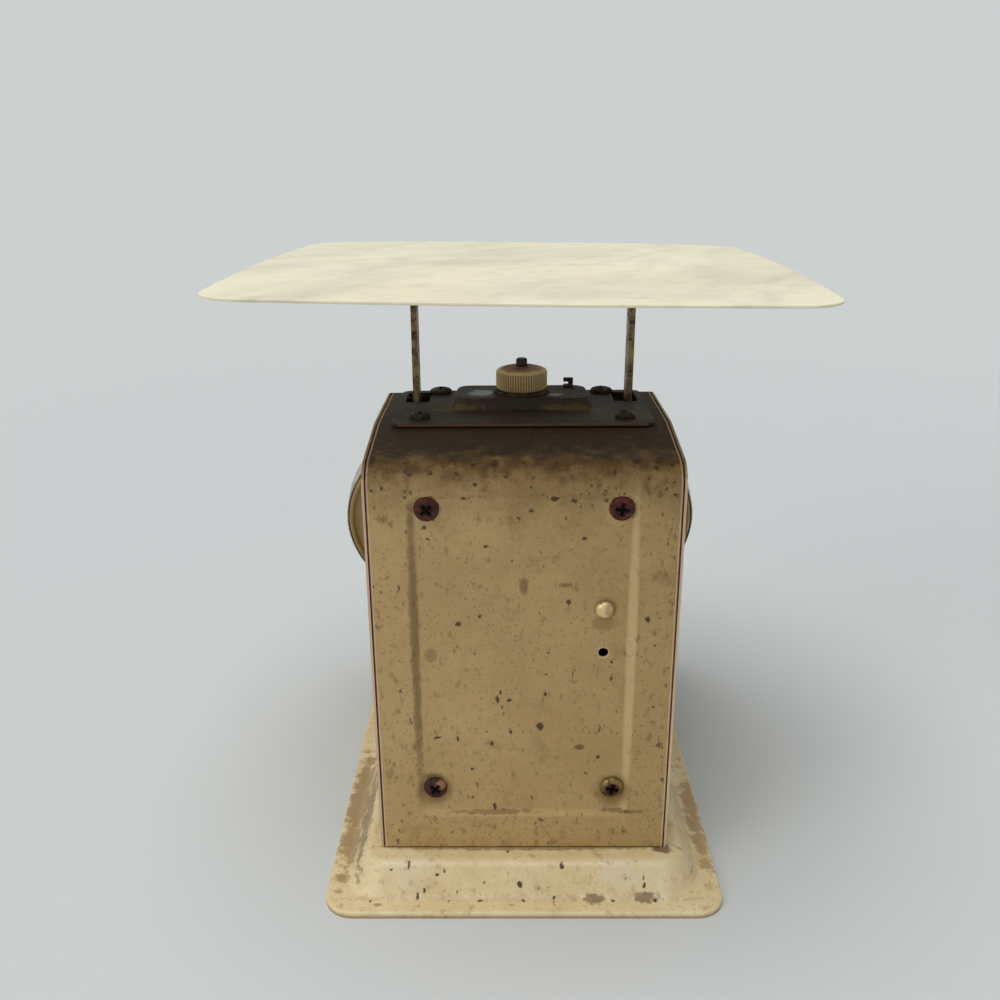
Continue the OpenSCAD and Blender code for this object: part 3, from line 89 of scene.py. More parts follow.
class Graph:
    """Adds and links the nodes of one material or node group."""

    def __init__(self, tree: bpy.types.NodeTree) -> None:
        """Start on an emptied tree.

        Args:
            tree: The node tree to fill.
        """
        self.tree = tree
        self.tree.nodes.clear()

    def add(self, kind: str, inputs: dict[str | int, Any] | None = None,
            **settings: Any) -> bpy.types.Node:
        """Add a node.

        Args:
            kind: Type of the node.
            inputs: Values or sockets for its inputs, by name or number.
            settings: Its properties.

        Returns:
            The new node.
        """
        node = self.tree.nodes.new(kind)
        for name, value in settings.items():
            setattr(node, name, value)
        for name, value in (inputs or {}).items():
            self.feed(node.inputs[name], value)
        return node

    def feed(self, socket: bpy.types.NodeSocket, value: Any) -> None:
        """Link a socket to an input, or set the input's value."""
        if isinstance(value, bpy.types.NodeSocket):
            self.tree.links.new(value, socket)
        else:
            socket.default_value = value

    def math(self, operation: str, a: Any, b: Any = 0.0) -> bpy.types.NodeSocket:
        """Combine two numbers with a Math node."""
        return self.add("ShaderNodeMath", {0: a, 1: b}, operation=operation).outputs[0]

    def vector(self, operation: str, a: Any, b: Any = (0.0, 0.0, 0.0)) -> bpy.types.NodeSocket:
        """Combine two vectors with a Vector Math node."""
        return self.add("ShaderNodeVectorMath", {0: a, 1: b}, operation=operation).outputs[0]

    def measure(self, operation: str, a: Any, b: Any = (0.0, 0.0, 0.0)) -> bpy.types.NodeSocket:
        """Get a number from one or two vectors, such as a length or a dot product."""
        node = self.add("ShaderNodeVectorMath", {0: a, 1: b}, operation=operation)
        return node.outputs["Value"]

    def scaled(self, vector: Any, factor: Any) -> bpy.types.NodeSocket:
        """Scale a vector by a number."""
        node = self.add("ShaderNodeVectorMath", {0: vector, "Scale": factor}, operation="SCALE")
        return node.outputs[0]

    def step(self, value: Any, low: Any, high: Any, to_low: Any = 0.0,
             to_high: Any = 1.0) -> bpy.types.NodeSocket:
        """Remap a number smoothly from one range to another, held at the ends."""
        node = self.add("ShaderNodeMapRange", {0: value, 1: low, 2: high, 3: to_low, 4: to_high},
                        interpolation_type="SMOOTHSTEP")
        return node.outputs[0]

    def blend(self, amount: Any, a: Any, b: Any) -> bpy.types.NodeSocket:
        """Mix two colours."""
        return self.add("ShaderNodeMix", {0: amount, 6: a, 7: b}, data_type="RGBA").outputs[2]

    def cloud(self, vector: Any, scale: Any, detail: float = 4.0, rough: float = 0.55,
              warp: float = 0.0) -> bpy.types.Node:
        """Add a noise texture."""
        return self.add("ShaderNodeTexNoise", {
            "Vector": vector, "Scale": scale, "Detail": detail, "Roughness": rough,
            "Distortion": warp})

    def group(self, tree: bpy.types.NodeTree, **inputs: Any) -> bpy.types.NodeSocket:
        """Place a node group and return its output. Input names use _ for a space."""
        node = self.add("ShaderNodeGroup", node_tree=tree)
        for name, value in inputs.items():
            self.feed(node.inputs[name.replace("_", " ")], value)
        return node.outputs[0]


class Effects:
    """The node groups that several finishes share, each built once."""

    _built: dict[str, bpy.types.NodeTree] = {}

    @classmethod
    def _make(cls, name: str, inputs: dict[str, Any], fill: Callable[..., Any],
              kind: str = "NodeSocketFloat") -> bpy.types.NodeTree:
        """Build a group, or return the one that is there.

        Args:
            name: Name of the group.
            inputs: Names of its inputs with their defaults, numbers or vectors.
            fill: Makes its nodes from the graph and the input sockets, and returns the output.
            kind: Type of its output.

        Returns:
            The group's node tree.
        """
        if name not in cls._built:
            tree = bpy.data.node_groups.new(name, "ShaderNodeTree")
            for label, default in inputs.items():
                is_vector = isinstance(default, tuple)
                socket = tree.interface.new_socket(
                    label, in_out="INPUT",
                    socket_type="NodeSocketVector" if is_vector else "NodeSocketFloat")
                socket.default_value = default
            tree.interface.new_socket("Result", in_out="OUTPUT", socket_type=kind)
            graph = Graph(tree)
            source = graph.add("NodeGroupInput")
            result = fill(graph, *[source.outputs[label] for label in inputs])
            graph.add("NodeGroupOutput", {0: result})
            cls._built[name] = tree
        return cls._built[name]

    @classmethod
    def flecks(cls) -> bpy.types.NodeTree:
        """Scattered irregular spots: 1 in a spot, 0 beside it."""
        def fill(g: Graph, place: Any, scale: Any, share: Any, size: Any, tall: Any) -> Any:
            squeeze = g.add("ShaderNodeCombineXYZ", {0: 1.0, 1: 1.0,
                                                     2: g.math("DIVIDE", 1.0, tall)}).outputs[0]
            cells = g.add("ShaderNodeTexVoronoi", {"Vector": g.vector("MULTIPLY", place, squeeze),
                                                   "Scale": scale})
            draw = g.add("ShaderNodeSeparateColor", {0: cells.outputs["Color"]})
            reach = g.math("MULTIPLY", size, g.step(draw.outputs[1], 0.0, 1.0, 0.35, 1.25))
            spot = g.step(cells.outputs["Distance"], g.math("MULTIPLY", reach, 0.55), reach,
                          1.0, 0.0)
            return g.math("MULTIPLY", spot, g.math("LESS_THAN", draw.outputs[0], share))
        return cls._make("flecks", {"Vector": (0.0, 0.0, 0.0), "Scale": 300.0, "Share": 0.3,
                                    "Size": 0.4, "Tall": 1.4}, fill)

    @classmethod
    def bent(cls) -> bpy.types.NodeTree:
        """Places shifted by a noise, so that round spots come out ragged."""
        def fill(g: Graph, place: Any, fine: Any, reach: Any) -> Any:
            near = g.vector("SUBTRACT", g.cloud(place, fine, 3.0, 0.65).outputs["Color"],
                            (0.5, 0.5, 0.5))
            return g.vector("ADD", place, g.scaled(near, reach))
        return cls._make("bent", {"Vector": (0.0, 0.0, 0.0), "Fine": 600.0, "Reach": 0.003},
                         fill, "NodeSocketVector")

    @classmethod
    def mottle(cls) -> bpy.types.NodeTree:
        """Cloudy patches between two levels of a noise."""
        def fill(g: Graph, place: Any, scale: Any, low: Any, high: Any) -> Any:
            return g.step(g.cloud(place, scale, 6.0, 0.62).outputs[0], low, high)
        return cls._make("mottle", {"Vector": (0.0, 0.0, 0.0), "Scale": 60.0, "Low": 0.4,
                                    "High": 0.6}, fill)

    @classmethod
    def film(cls) -> bpy.types.NodeTree:
        """A film that fades along a direction with a ragged edge, for dirt and for painted
        highlights and shade.
        """
        def fill(g: Graph, place: Any, along: Any, start: Any, end: Any, rag: Any,
                 scale: Any) -> Any:
            uneven = g.math("SUBTRACT", g.cloud(place, scale, 6.0, 0.62).outputs[0], 0.5)
            level = g.math("ADD", g.measure("DOT_PRODUCT", place, along),
                           g.math("MULTIPLY", uneven, rag))
            return g.step(level, start, end)
        return cls._make("film", {"Vector": (0.0, 0.0, 0.0), "Along": (0.0, 0.0, 1.0),
                                  "Start": 0.0, "End": 0.1, "Rag": 0.02, "Scale": 60.0}, fill)

    @classmethod
    def patch(cls) -> bpy.types.NodeTree:
        """One soft patch round a centre, with a ragged edge."""
        def fill(g: Graph, place: Any, centre: Any, size: Any, rag: Any, scale: Any) -> Any:
            local = g.vector("DIVIDE", g.vector("SUBTRACT", place, centre), size)
            uneven = g.math("SUBTRACT", g.cloud(place, scale, 5.0, 0.6).outputs[0], 0.5)
            level = g.math("ADD", g.measure("LENGTH", local), g.math("MULTIPLY", uneven, rag))
            return g.step(level, 0.5, 1.0, 1.0, 0.0)
        return cls._make("patch", {"Vector": (0.0, 0.0, 0.0), "Centre": (0.0, 0.0, 0.0),
                                   "Size": (0.01, 0.01, 0.01), "Rag": 0.8, "Scale": 150.0}, fill)

    @classmethod
    def mark(cls) -> bpy.types.NodeTree:
        """One small hard mark round a centre."""
        def fill(g: Graph, place: Any, centre: Any, size: Any) -> Any:
            local = g.vector("DIVIDE", g.vector("SUBTRACT", place, centre), size)
            return g.step(g.measure("LENGTH", local), 0.3, 0.5, 1.0, 0.0)
        return cls._make("mark", {"Vector": (0.0, 0.0, 0.0), "Centre": (0.0, 0.0, 0.0),
                                  "Size": (0.001, 0.001, 0.001)}, fill)

    @classmethod
    def wisps(cls) -> bpy.types.NodeTree:
        """Soft drawn-out streaks across a level surface."""
        def fill(g: Graph, place: Any, turn: Any, stretch: Any, scale: Any, low: Any,
                 high: Any) -> Any:
            drawn = g.add("ShaderNodeMapping", {"Vector": place, "Rotation": turn,
                                                "Scale": stretch}, vector_type="TEXTURE")
            return g.step(g.cloud(drawn.outputs[0], scale, 5.0, 0.6, 0.8).outputs[0], low, high)
        return cls._make("wisps", {"Vector": (0.0, 0.0, 0.0), "Turn": (0.0, 0.0, 0.7),
                                   "Stretch": (1.0, 4.0, 1.0), "Scale": 30.0, "Low": 0.5,
                                   "High": 0.7}, fill)

    @classmethod
    def scratches(cls) -> bpy.types.NodeTree:
        """Fine broken lines along one axis."""
        def fill(g: Graph, place: Any, stretch: Any, scale: Any, low: Any, high: Any) -> Any:
            lines = g.cloud(g.vector("MULTIPLY", place, stretch), scale, 3.0, 0.6).outputs[0]
            breaks = g.cloud(place, g.math("MULTIPLY", scale, 0.12), 2.0).outputs[0]
            return g.math("MULTIPLY", g.step(lines, low, high), g.step(breaks, 0.42, 0.62))
        return cls._make("scratches", {"Vector": (0.0, 0.0, 0.0), "Stretch": (1.0, 1.0, 0.05),
                                       "Scale": 900.0, "Low": 0.58, "High": 0.66}, fill)

    @classmethod
    def grain(cls) -> bpy.types.NodeTree:
        """Height of a sprayed or rolled surface: fine grain on slow dents."""
        def fill(g: Graph, place: Any, fine: Any, dents: Any) -> Any:
            small = g.math("MULTIPLY", g.cloud(place, 1400.0, 2.0).outputs[0], fine)
            slow = g.math("MULTIPLY", g.cloud(place, 26.0, 2.0, 0.4).outputs[0], dents)
            return g.math("ADD", small, slow)
        return cls._make("grain", {"Vector": (0.0, 0.0, 0.0), "Fine": 0.1, "Dents": 0.5}, fill)


@dataclass
class Coat:
    """What a finish has laid down so far: its colour, roughness and height."""

    graph: Graph
    color: Any
    rough: Any
    height: Any

    def lay(self, mask: Any, color: Color, rougher: float, raised: float) -> None:
        """Lay a colour over the coat where a mask says, rougher and raised by so much."""
        g = self.graph
        self.color = g.blend(mask, self.color, color)
        self.rough = g.math("ADD", self.rough, g.math("MULTIPLY", mask, rougher))
        if raised:
            self.height = g.math("ADD", self.height, g.math("MULTIPLY", mask, raised))


@dataclass(frozen=True, kw_only=True)
class Layer:
    """Anything that lies on a finish: its colour, how strong it is and how it feels."""

    color: Color
    strength: float = 1.0
    rougher: float = 0.12
    raised: float = 0.0

    def mask(self, g: Graph, place: Any, bent: Any) -> Any:
        """Build the layer's mask.

        Args:
            g: The material's graph.
            place: Object coordinates, in metres.
            bent: The same coordinates, shifted by a fine noise.

        Returns:
            The socket of the mask.
        """
        raise NotImplementedError

    def lay(self, coat: Coat, place: Any, bent: Any) -> None:
        """Lay this layer on a coat. Places as in mask."""
        mask = coat.graph.math("MULTIPLY", self.mask(coat.graph, place, bent), self.strength)
        coat.lay(mask, self.color, self.rougher, self.raised)


@dataclass(frozen=True, kw_only=True)
class Spots(Layer):
    """A scatter of spots, and how many more there are higher up the housing."""

    scale: float
    share: float
    size: float
    tall: float = 1.4
    more: float = 0.0

    def mask(self, g: Graph, place: Any, bent: Any) -> Any:
        """Scatter the spots. Arguments as in Layer.mask."""
        share: Any = self.share
        if self.more:
            high = g.measure("DOT_PRODUCT", place, CLIMB)
            share = g.step(high, climbed(150), climbed(178), share, share + self.more)
        return g.group(Effects.flecks(), Vector=bent, Scale=self.scale, Share=share,
                       Size=self.size, Tall=self.tall)


@dataclass(frozen=True, kw_only=True)
class Film(Layer):
    """A film that fades along a direction, from start to end in metres. It lays dirt, and in places
    painted highlights and painted shade.
    """

    start: float
    end: float
    rag: float
    scale: float = 60.0
    along: Point = (0.0, 0.0, 1.0)

    def mask(self, g: Graph, place: Any, bent: Any) -> Any:
        """Fade the film. Arguments as in Layer.mask."""
        return g.group(Effects.film(), Vector=place, Along=self.along, Start=self.start,
                       End=self.end, Rag=self.rag, Scale=self.scale)


@dataclass(frozen=True, kw_only=True)
class Patch(Layer):
    """A patch round a point, in metres: a stain or worn place, and in places a painted highlight,
    shadow or reflection.
    """

    centre: Point
    size: Point
    rag: float = 0.9
    scale: float = 160.0

    def mask(self, g: Graph, place: Any, bent: Any) -> Any:
        """Draw the patch. Arguments as in Layer.mask."""
        return g.group(Effects.patch(), Vector=place, Centre=self.centre, Size=self.size,
                       Rag=self.rag, Scale=self.scale)


@dataclass(frozen=True, kw_only=True)
class Mark(Layer):
    """One chip or speck that stands out, in metres."""

    centre: Point
    size: Point

    def mask(self, g: Graph, place: Any, bent: Any) -> Any:
        """Draw the mark. Arguments as in Layer.mask."""
        return g.group(Effects.mark(), Vector=bent, Centre=self.centre, Size=self.size)


@dataclass(frozen=True, kw_only=True)
class Bloom(Layer):
    """Irregular cloudy dirt wherever a noise is high."""

    scale: float
    low: float
    high: float
    tall: float = 1.0

    def mask(self, g: Graph, place: Any, bent: Any) -> Any:
        """Draw the clouds. Arguments as in Layer.mask."""
        if self.tall != 1.0:
            place = g.vector("MULTIPLY", place, (1.0, 1.0, 1.0 / self.tall))
        return g.group(Effects.mottle(), Vector=place, Scale=self.scale, Low=self.low,
                       High=self.high)


@dataclass(frozen=True, kw_only=True)
class Wisps(Layer):
    """Soft streaks drawn out along a direction, turned from the Y axis."""

    turn: float
    stretch: float
    scale: float
    low: float
    high: float

    def mask(self, g: Graph, place: Any, bent: Any) -> Any:
        """Draw the streaks. Arguments as in Layer.mask."""
        return g.group(Effects.wisps(), Vector=place, Turn=(0.0, 0.0, math.radians(self.turn)),
                       Stretch=(1.0, self.stretch, 1.0), Scale=self.scale, Low=self.low,
                       High=self.high)


@dataclass(frozen=True, kw_only=True)
class Settled(Layer):
    """Dirt in the creases that a piece's grime attribute marks."""

    def mask(self, g: Graph, place: Any, bent: Any) -> Any:
        """Read the attribute. Arguments as in Layer.mask."""
        return g.add("ShaderNodeAttribute", attribute_name="grime").outputs["Fac"]


MATERIALS: dict[str, bpy.types.Material] = {}


@dataclass(frozen=True)
class Finish:
    """What every finish has: its name and the record's slot that it belongs to."""

    name: str
    slot: str

    def build(self) -> bpy.types.Material:
        """Build the material, or return the one that is there."""
        if self.name not in MATERIALS:
            material = bpy.data.materials.new(self.name)
            material.use_nodes = True
            graph = Graph(material.node_tree)
            surface = graph.add("ShaderNodeBsdfPrincipled")
            graph.add("ShaderNodeOutputMaterial", {0: surface.outputs[0]})
            place = graph.add("ShaderNodeTexCoord").outputs["Object"]
            self.fill(graph, surface, place)
            MATERIALS[self.name] = material
        return MATERIALS[self.name]

    def fill(self, g: Graph, surface: bpy.types.Node, place: Any) -> None:
        """Set the shader's values and link what changes over the surface.

        Args:
            g: The material's graph.
            surface: Its Principled shader.
            place: Object coordinates, in metres.
        """
        raise NotImplementedError


@dataclass(frozen=True)
class AgedPaint(Finish):
    """Old stoved paint: uneven tone, layers of dirt, painted highlights and painted shade, and a
    little orange peel.
    """

    light: Color
    dull: Color
    layers: tuple[Layer, ...] = ()
    gloss: float = 0.42
    tone_scale: float = 38.0
    ragged: float = 0.0022
    fine: float = 0.1
    dents: float = 0.5
    bump: float = 0.25

    def fill(self, g: Graph, surface: bpy.types.Node, place: Any) -> None:
        """Lay the tone, then each layer of dirt, painted highlight and painted shade. Arguments as
        in Finish.fill.
        """
        tone = g.group(Effects.mottle(), Vector=place, Scale=self.tone_scale, Low=0.3, High=0.72)
        close = g.group(Effects.mottle(), Vector=place, Scale=self.tone_scale * 6, Low=0.35,
                        High=0.75)
        tone = g.math("ADD", g.math("MULTIPLY", tone, 0.65), g.math("MULTIPLY", close, 0.35))
        coat = Coat(g, g.blend(tone, self.light, self.dull),
                    g.step(tone, 0.0, 1.0, self.gloss, self.gloss + 0.12),
                    g.group(Effects.grain(), Vector=place, Fine=self.fine, Dents=self.dents))
        bent = g.group(Effects.bent(), Vector=place, Fine=700.0, Reach=self.ragged)
        for layer in self.layers:
            layer.lay(coat, place, bent)
        g.feed(surface.inputs["Base Color"], coat.color)
        g.feed(surface.inputs["Roughness"], coat.rough)
        relief = g.add("ShaderNodeBump", {"Strength": self.bump, "Distance": MM,
                                          "Height": coat.height})
        g.feed(surface.inputs["Normal"], relief.outputs[0])


@dataclass(frozen=True)
class Metal(Finish):
    """Worked metal: brushed lines, tarnish clouds and rust or dirt specks."""

    light: Color
    dull: Color
    stain: Color
    stained: float = 0.3
    rough: float = 0.34
    metallic: float = 1.0
    lines: Point = (1.0, 1.0, 0.05)
    fleck_share: float = 0.25
    bump: float = 0.2
    layers: tuple[Layer, ...] = ()

    def fill(self, g: Graph, surface: bpy.types.Node, place: Any) -> None:
        """Mix bright, dull and stained metal. Arguments as in Finish.fill."""
        cloud = g.group(Effects.mottle(), Vector=place, Scale=150.0, Low=0.32, High=0.7)
        brushed = g.group(Effects.scratches(), Vector=place, Stretch=self.lines, Scale=2200.0,
                          Low=0.45, High=0.7)
        color = g.blend(g.math("MAXIMUM", cloud, g.math("MULTIPLY", brushed, 0.6)),
                        self.light, self.dull)
        stain = g.group(Effects.mottle(), Vector=place, Scale=260.0, Low=0.72 - self.stained / 2,
                        High=0.84 - self.stained / 2)
        bent = g.group(Effects.bent(), Vector=place, Fine=900.0, Reach=0.0012)
        flecks = g.group(Effects.flecks(), Vector=bent, Scale=900.0, Share=self.fleck_share,
                         Size=0.45, Tall=1.0)
        dirt = g.math("MAXIMUM", stain, flecks)
        coat = Coat(g, g.blend(dirt, color, self.stain),
                    g.math("ADD", g.step(cloud, 0.0, 1.0, self.rough, self.rough + 0.14),
                           g.math("MULTIPLY", dirt, 0.3)),
                    g.math("SUBTRACT", g.math("MULTIPLY", dirt, 0.5),
                           g.math("MULTIPLY", brushed, 0.3)))
        for layer in self.layers:
            layer.lay(coat, place, bent)
        g.feed(surface.inputs["Base Color"], coat.color)
        g.feed(surface.inputs["Metallic"],
               g.step(dirt, 0.0, 1.0, self.metallic, self.metallic * 0.25))
        g.feed(surface.inputs["Roughness"], coat.rough)
        relief = g.add("ShaderNodeBump", {"Strength": self.bump, "Distance": 0.2 * MM,
                                          "Height": coat.height})
        g.feed(surface.inputs["Normal"], relief.outputs[0])


@dataclass(frozen=True)
class Glass(Finish):
    """Clear disc with a faint tint."""

    tint: Color

    def fill(self, g: Graph, surface: bpy.types.Node, place: Any) -> None:
        """Set plain glass with faint wipe marks. Arguments as in Finish.fill."""
        surface.inputs["Base Color"].default_value = self.tint
        surface.inputs["Metallic"].default_value = 0.0
        surface.inputs["Transmission Weight"].default_value = 1.0
        surface.inputs["IOR"].default_value = 1.45
        wipes = g.group(Effects.scratches(), Vector=place, Stretch=(0.2, 1.0, 1.0), Scale=500.0,
                        Low=0.5, High=0.7)
        g.feed(surface.inputs["Roughness"], g.step(wipes, 0.0, 1.0, 0.02, 0.1))


# The rear face, the roof and the foot of the housing, in metres
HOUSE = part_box("rear_cover")
REAR = HOUSE[1].y
ROOF = HOUSE[1].z
FOOT = HOUSE[0].z

# Up the rear panel, round its bend and forward along the roof
CLIMB = (0.0, -0.5, 1.0)


def climbed(height: float) -> float:
    """Give the value along CLIMB of a height on the rear panel, in millimetres."""
    return height * MM + CLIMB[1] * REAR


def on_rear(x: float, height: float, out: float = 0.0) -> Point:
    """Give a place on the rear, from millimetres across, up and out of the panel."""
    return (x * MM, REAR + out * MM, height * MM)


def marks(color: Color, strength: float, out: float, reach: float,
          *places: tuple[float, float, float, float]) -> tuple[Mark, ...]:
    """Make a set of marks on one face.

    Args:
        color: Their colour.
        strength: How strongly they cover the paint.
        out: How far out of the rear panel the face is, in millimetres.
        reach: How far a mark reaches to each side of that, in millimetres.
        places: For each mark its x, its height, its width and how tall it is.

    Returns:
        The marks.
    """
    return tuple(Mark(color=color, strength=strength, raised=-0.5, centre=on_rear(x, up, out),
                      size=(wide * 1.3 * MM, 4 * reach * MM, tall * 1.3 * MM))
                 for x, up, wide, tall in places)


# Dirt and rust, and the colours of painted highlights and painted shade
SOOT = shade(47, 29, 13)
BROWN = shade(96, 66, 30)
TAN_DIRT = shade(132, 100, 56)
# Maroon: a stain near the bend, and the painted shade of the gap beside the cover's side edges
MAROON_STAIN_AND_GAP_SHADE = shade(62, 26, 18)
PIT = shade(62, 38, 16)
PITCH = shade(14, 8, 6)
# Painted highlight, laid along lit edges and round the plain hole's rim
PAINTED_HIGHLIGHT = shade(226, 190, 160)

PANEL_MARKS = marks(
    PIT, 0.9, -4.0, 12.0,
    (24.9, 115.4, 2.2, 1.8), (10.1, 82.9, 1.2, 3.2), (8.9, 86.0, 0.9, 2.0),
    (5.7, 82.4, 1.8, 1.4), (33.9, 65.7, 3.0, 1.1), (26.0, 65.2, 1.2, 2.8),
    (12.5, 63.1, 1.4, 2.2), (5.0, 68.3, 1.0, 2.2), (-6.3, 70.8, 2.6, 3.4),
    (20.2, 51.0, 1.2, 1.6), (11.6, 33.3, 1.4, 3.2), (-46.2, 117.8, 2.0, 2.4),
    (-16.6, 124.4, 1.4, 2.2), (-29.6, 56.8, 1.7, 1.8), (-24.8, 49.2, 1.3, 0.9),
    (-33.4, 99.0, 1.1, 1.1), (-33.5, 92.4, 0.7, 2.8), (-8.5, 94.0, 0.9, 0.9),
    (-8.4, 85.3, 1.5, 1.6), (-29.7, 69.9, 0.6, 3.2), (-49.9, 80.2, 1.3, 0.9),
    (-7.3, 180.1, 1.8, 1.4), (-9.8, 179.7, 2.4, 1.4), (-11.0, 165.5, 3.0, 2.0),
    (-47.3, 176.2, 1.8, 1.3), (17.5, 171.3, 1.5, 1.2), (35.0, 150.0, 1.2, 1.2),
    (14.0, 147.0, 1.6, 1.2), (-22.0, 150.0, 1.8, 1.4), (2.0, 158.0, 1.2, 1.0))
# Stains on the panel, with painted shade, painted shadow and painted highlights among them
PANEL_STAINS_AND_PAINTED_LIGHT = (
    Patch(color=BROWN, strength=0.6, centre=on_rear(0.1, 130.7), size=(0.0022, 0.02, 0.0046)),
    Patch(color=BROWN, strength=0.4, centre=on_rear(35.4, 102.1), size=(0.003, 0.02, 0.0036)),
    Patch(color=BROWN, strength=0.6, centre=on_rear(-15.4, 131.4), size=(0.003, 0.02, 0.0012)),
    Patch(color=BROWN, strength=0.8, centre=on_rear(-21.8, 61.2), size=(0.0026, 0.02, 0.0017)),
    Patch(color=MAROON_STAIN_AND_GAP_SHADE, strength=0.8, centre=on_rear(10.4, 177.6, -3), size=(0.0018, 0.01, 0.0013)),
    # Painted shade down the recess's +X slope (this Patch) and a painted highlight down its -X
    # slope (the next)
    Patch(color=BROWN, strength=0.5, centre=on_rear(41.4, 110.0), size=(0.0022, 0.02, 0.075),
          rag=1.3, scale=240.0),
    Patch(color=shade(222, 196, 146), strength=0.5, centre=on_rear(-40.6, 100.0),
          size=(0.0024, 0.02, 0.085), rag=0.4),
    Patch(color=TAN_DIRT, strength=0.65, centre=on_rear(35.3, 41.8), size=(0.0092, 0.02, 0.009),
          rag=0.6),
    Patch(color=BROWN, strength=0.6, centre=on_rear(35.6, 47.6), size=(0.005, 0.02, 0.0022)),
    Patch(color=TAN_DIRT, strength=0.65, centre=on_rear(-35.3, 41.2), size=(0.0095, 0.02, 0.009),
          rag=0.6),
    # Painted shadow of the brass stud, showing round it to the upper right
    Patch(color=BROWN, strength=0.7, centre=on_rear(-30.8, 122.0), size=(0.0054, 0.02, 0.0052),
          rag=0.5),
    Patch(color=TAN_DIRT, strength=0.5, centre=on_rear(-30.2, 115.8), size=(0.006, 0.02, 0.004)),
    # Painted highlight round the plain hole's rim
    Patch(color=PAINTED_HIGHLIGHT, strength=0.8, centre=on_rear(-30.2, 103.2), size=(0.0031, 0.02, 0.0031),
          rag=0.1),
    Patch(color=BROWN, strength=0.6, centre=on_rear(-40.0, 31.8), size=(0.012, 0.02, 0.0012),
          rag=1.6, scale=420.0),
    Patch(color=BROWN, strength=0.55, centre=on_rear(12.0, 31.2), size=(0.02, 0.02, 0.0012),
          rag=1.6, scale=420.0),
)
SMALL_SPOTS = (
    Spots(color=BROWN, strength=0.42, scale=780.0, share=0.5, size=0.33, tall=1.4),
    Spots(color=BROWN, strength=0.75, scale=380.0, share=0.3, size=0.2, tall=1.8, more=0.4,
          raised=-0.2),
    Spots(color=PIT, strength=0.85, scale=250.0, share=0.13, size=0.12, tall=1.8, more=0.35,
          raised=-0.5),
    Spots(color=BROWN, strength=0.42, scale=140.0, share=0.2, size=0.17, tall=2.2, more=0.5),
)
FINE_DIRT = (
    Bloom(color=BROWN, strength=0.42, scale=330.0, low=0.56, high=0.68, tall=1.7),
    Bloom(color=PIT, strength=0.75, scale=240.0, low=0.655, high=0.70, tall=2.0),
    Spots(color=PIT, strength=0.85, scale=330.0, share=0.0, size=0.34, tall=1.0, more=0.5),
)
# Painted highlight along the cover's bent side edges, and painted shade in the dark gap just beyond
# them
EDGE_HIGHLIGHT_AND_GAP_SHADE = tuple(
    Film(color=color, strength=strength, start=start, end=start + 0.00015, rag=0.0003,
         scale=90.0, along=(side, 0.0, 0.0))
    for side in (1.0, -1.0)
    for color, strength, start in ((PAINTED_HIGHLIGHT, 0.6, 0.05595), (MAROON_STAIN_AND_GAP_SHADE, 0.9, 0.0565)))
SCREW_HALOS = tuple(
    Patch(color=shade(206, 176, 126), strength=0.5, centre=on_rear(x, 161.8),
          size=(0.0085, 0.02, 0.0085), rag=0.3) for x in (35.3, -35.3))
COVER_PAINT = AgedPaint(
    "cover_stoving", "cream_paint", light=shade(198, 165, 110), dull=shade(180, 147, 94),
    layers=(
        # Painted shade: the panel darkens towards -X, the side further from the lamp
        Film(color=shade(168, 138, 84), strength=0.5, start=-0.02, end=0.056, rag=0.02,
             along=(-1.0, 0.0, 0.0)),
        Bloom(color=TAN_DIRT, strength=0.5, scale=55.0, low=0.56, high=0.74),
        Bloom(color=BROWN, strength=0.5, scale=120.0, low=0.66, high=0.76),
        Film(color=TAN_DIRT, strength=0.6, start=climbed(152), end=climbed(176), rag=0.05,
             scale=70.0, along=CLIMB),
        Film(color=BROWN, strength=0.85, start=climbed(168), end=climbed(185), rag=0.05,
             scale=170.0, along=CLIMB),
        Film(color=SOOT, strength=0.96, start=climbed(177), end=climbed(190), rag=0.034,
             scale=150.0, along=CLIMB),
        # Painted shade: a near-black line along the cover's foot, where it sits on the base
        Film(color=PITCH, strength=0.85, start=-FOOT - 0.0007, end=-FOOT - 0.0004, rag=0.0005,
             scale=200.0, along=(0.0, 0.0, -1.0)),
    ) + SCREW_HALOS + FINE_DIRT + SMALL_SPOTS + PANEL_STAINS_AND_PAINTED_LIGHT + PANEL_MARKS + EDGE_HIGHLIGHT_AND_GAP_SHADE,
    gloss=0.38, dents=0.8, bump=0.3)
SHELL_PAINT = AgedPaint(
    "shell_stoving", "cream_paint", light=shade(206, 176, 120), dull=shade(186, 155, 101),
    layers=(
        Bloom(color=TAN_DIRT, strength=0.5, scale=45.0, low=0.55, high=0.75),
        Film(color=TAN_DIRT, strength=0.6, start=-0.035, end=-0.02, rag=0.02, scale=80.0,
             along=(0.0, 0.0, -1.0)),
        Film(color=BROWN, strength=0.7, start=0.165, end=0.186, rag=0.02, scale=90.0),
        Spots(color=BROWN, strength=0.3, scale=760.0, share=0.35, size=0.3, tall=1.3),
        Spots(color=PIT, strength=0.85, scale=170.0, share=0.12, size=0.13, tall=1.7, raised=-0.5),
        # Painted highlight along the side walls' rear edges
        Film(color=PAINTED_HIGHLIGHT, strength=0.7, start=REAR - 0.0012, end=REAR - 0.0009, rag=0.0002,
             scale=90.0, along=(0.0, 1.0, 0.0)),
    ), gloss=0.38, dents=0.8, bump=0.3)
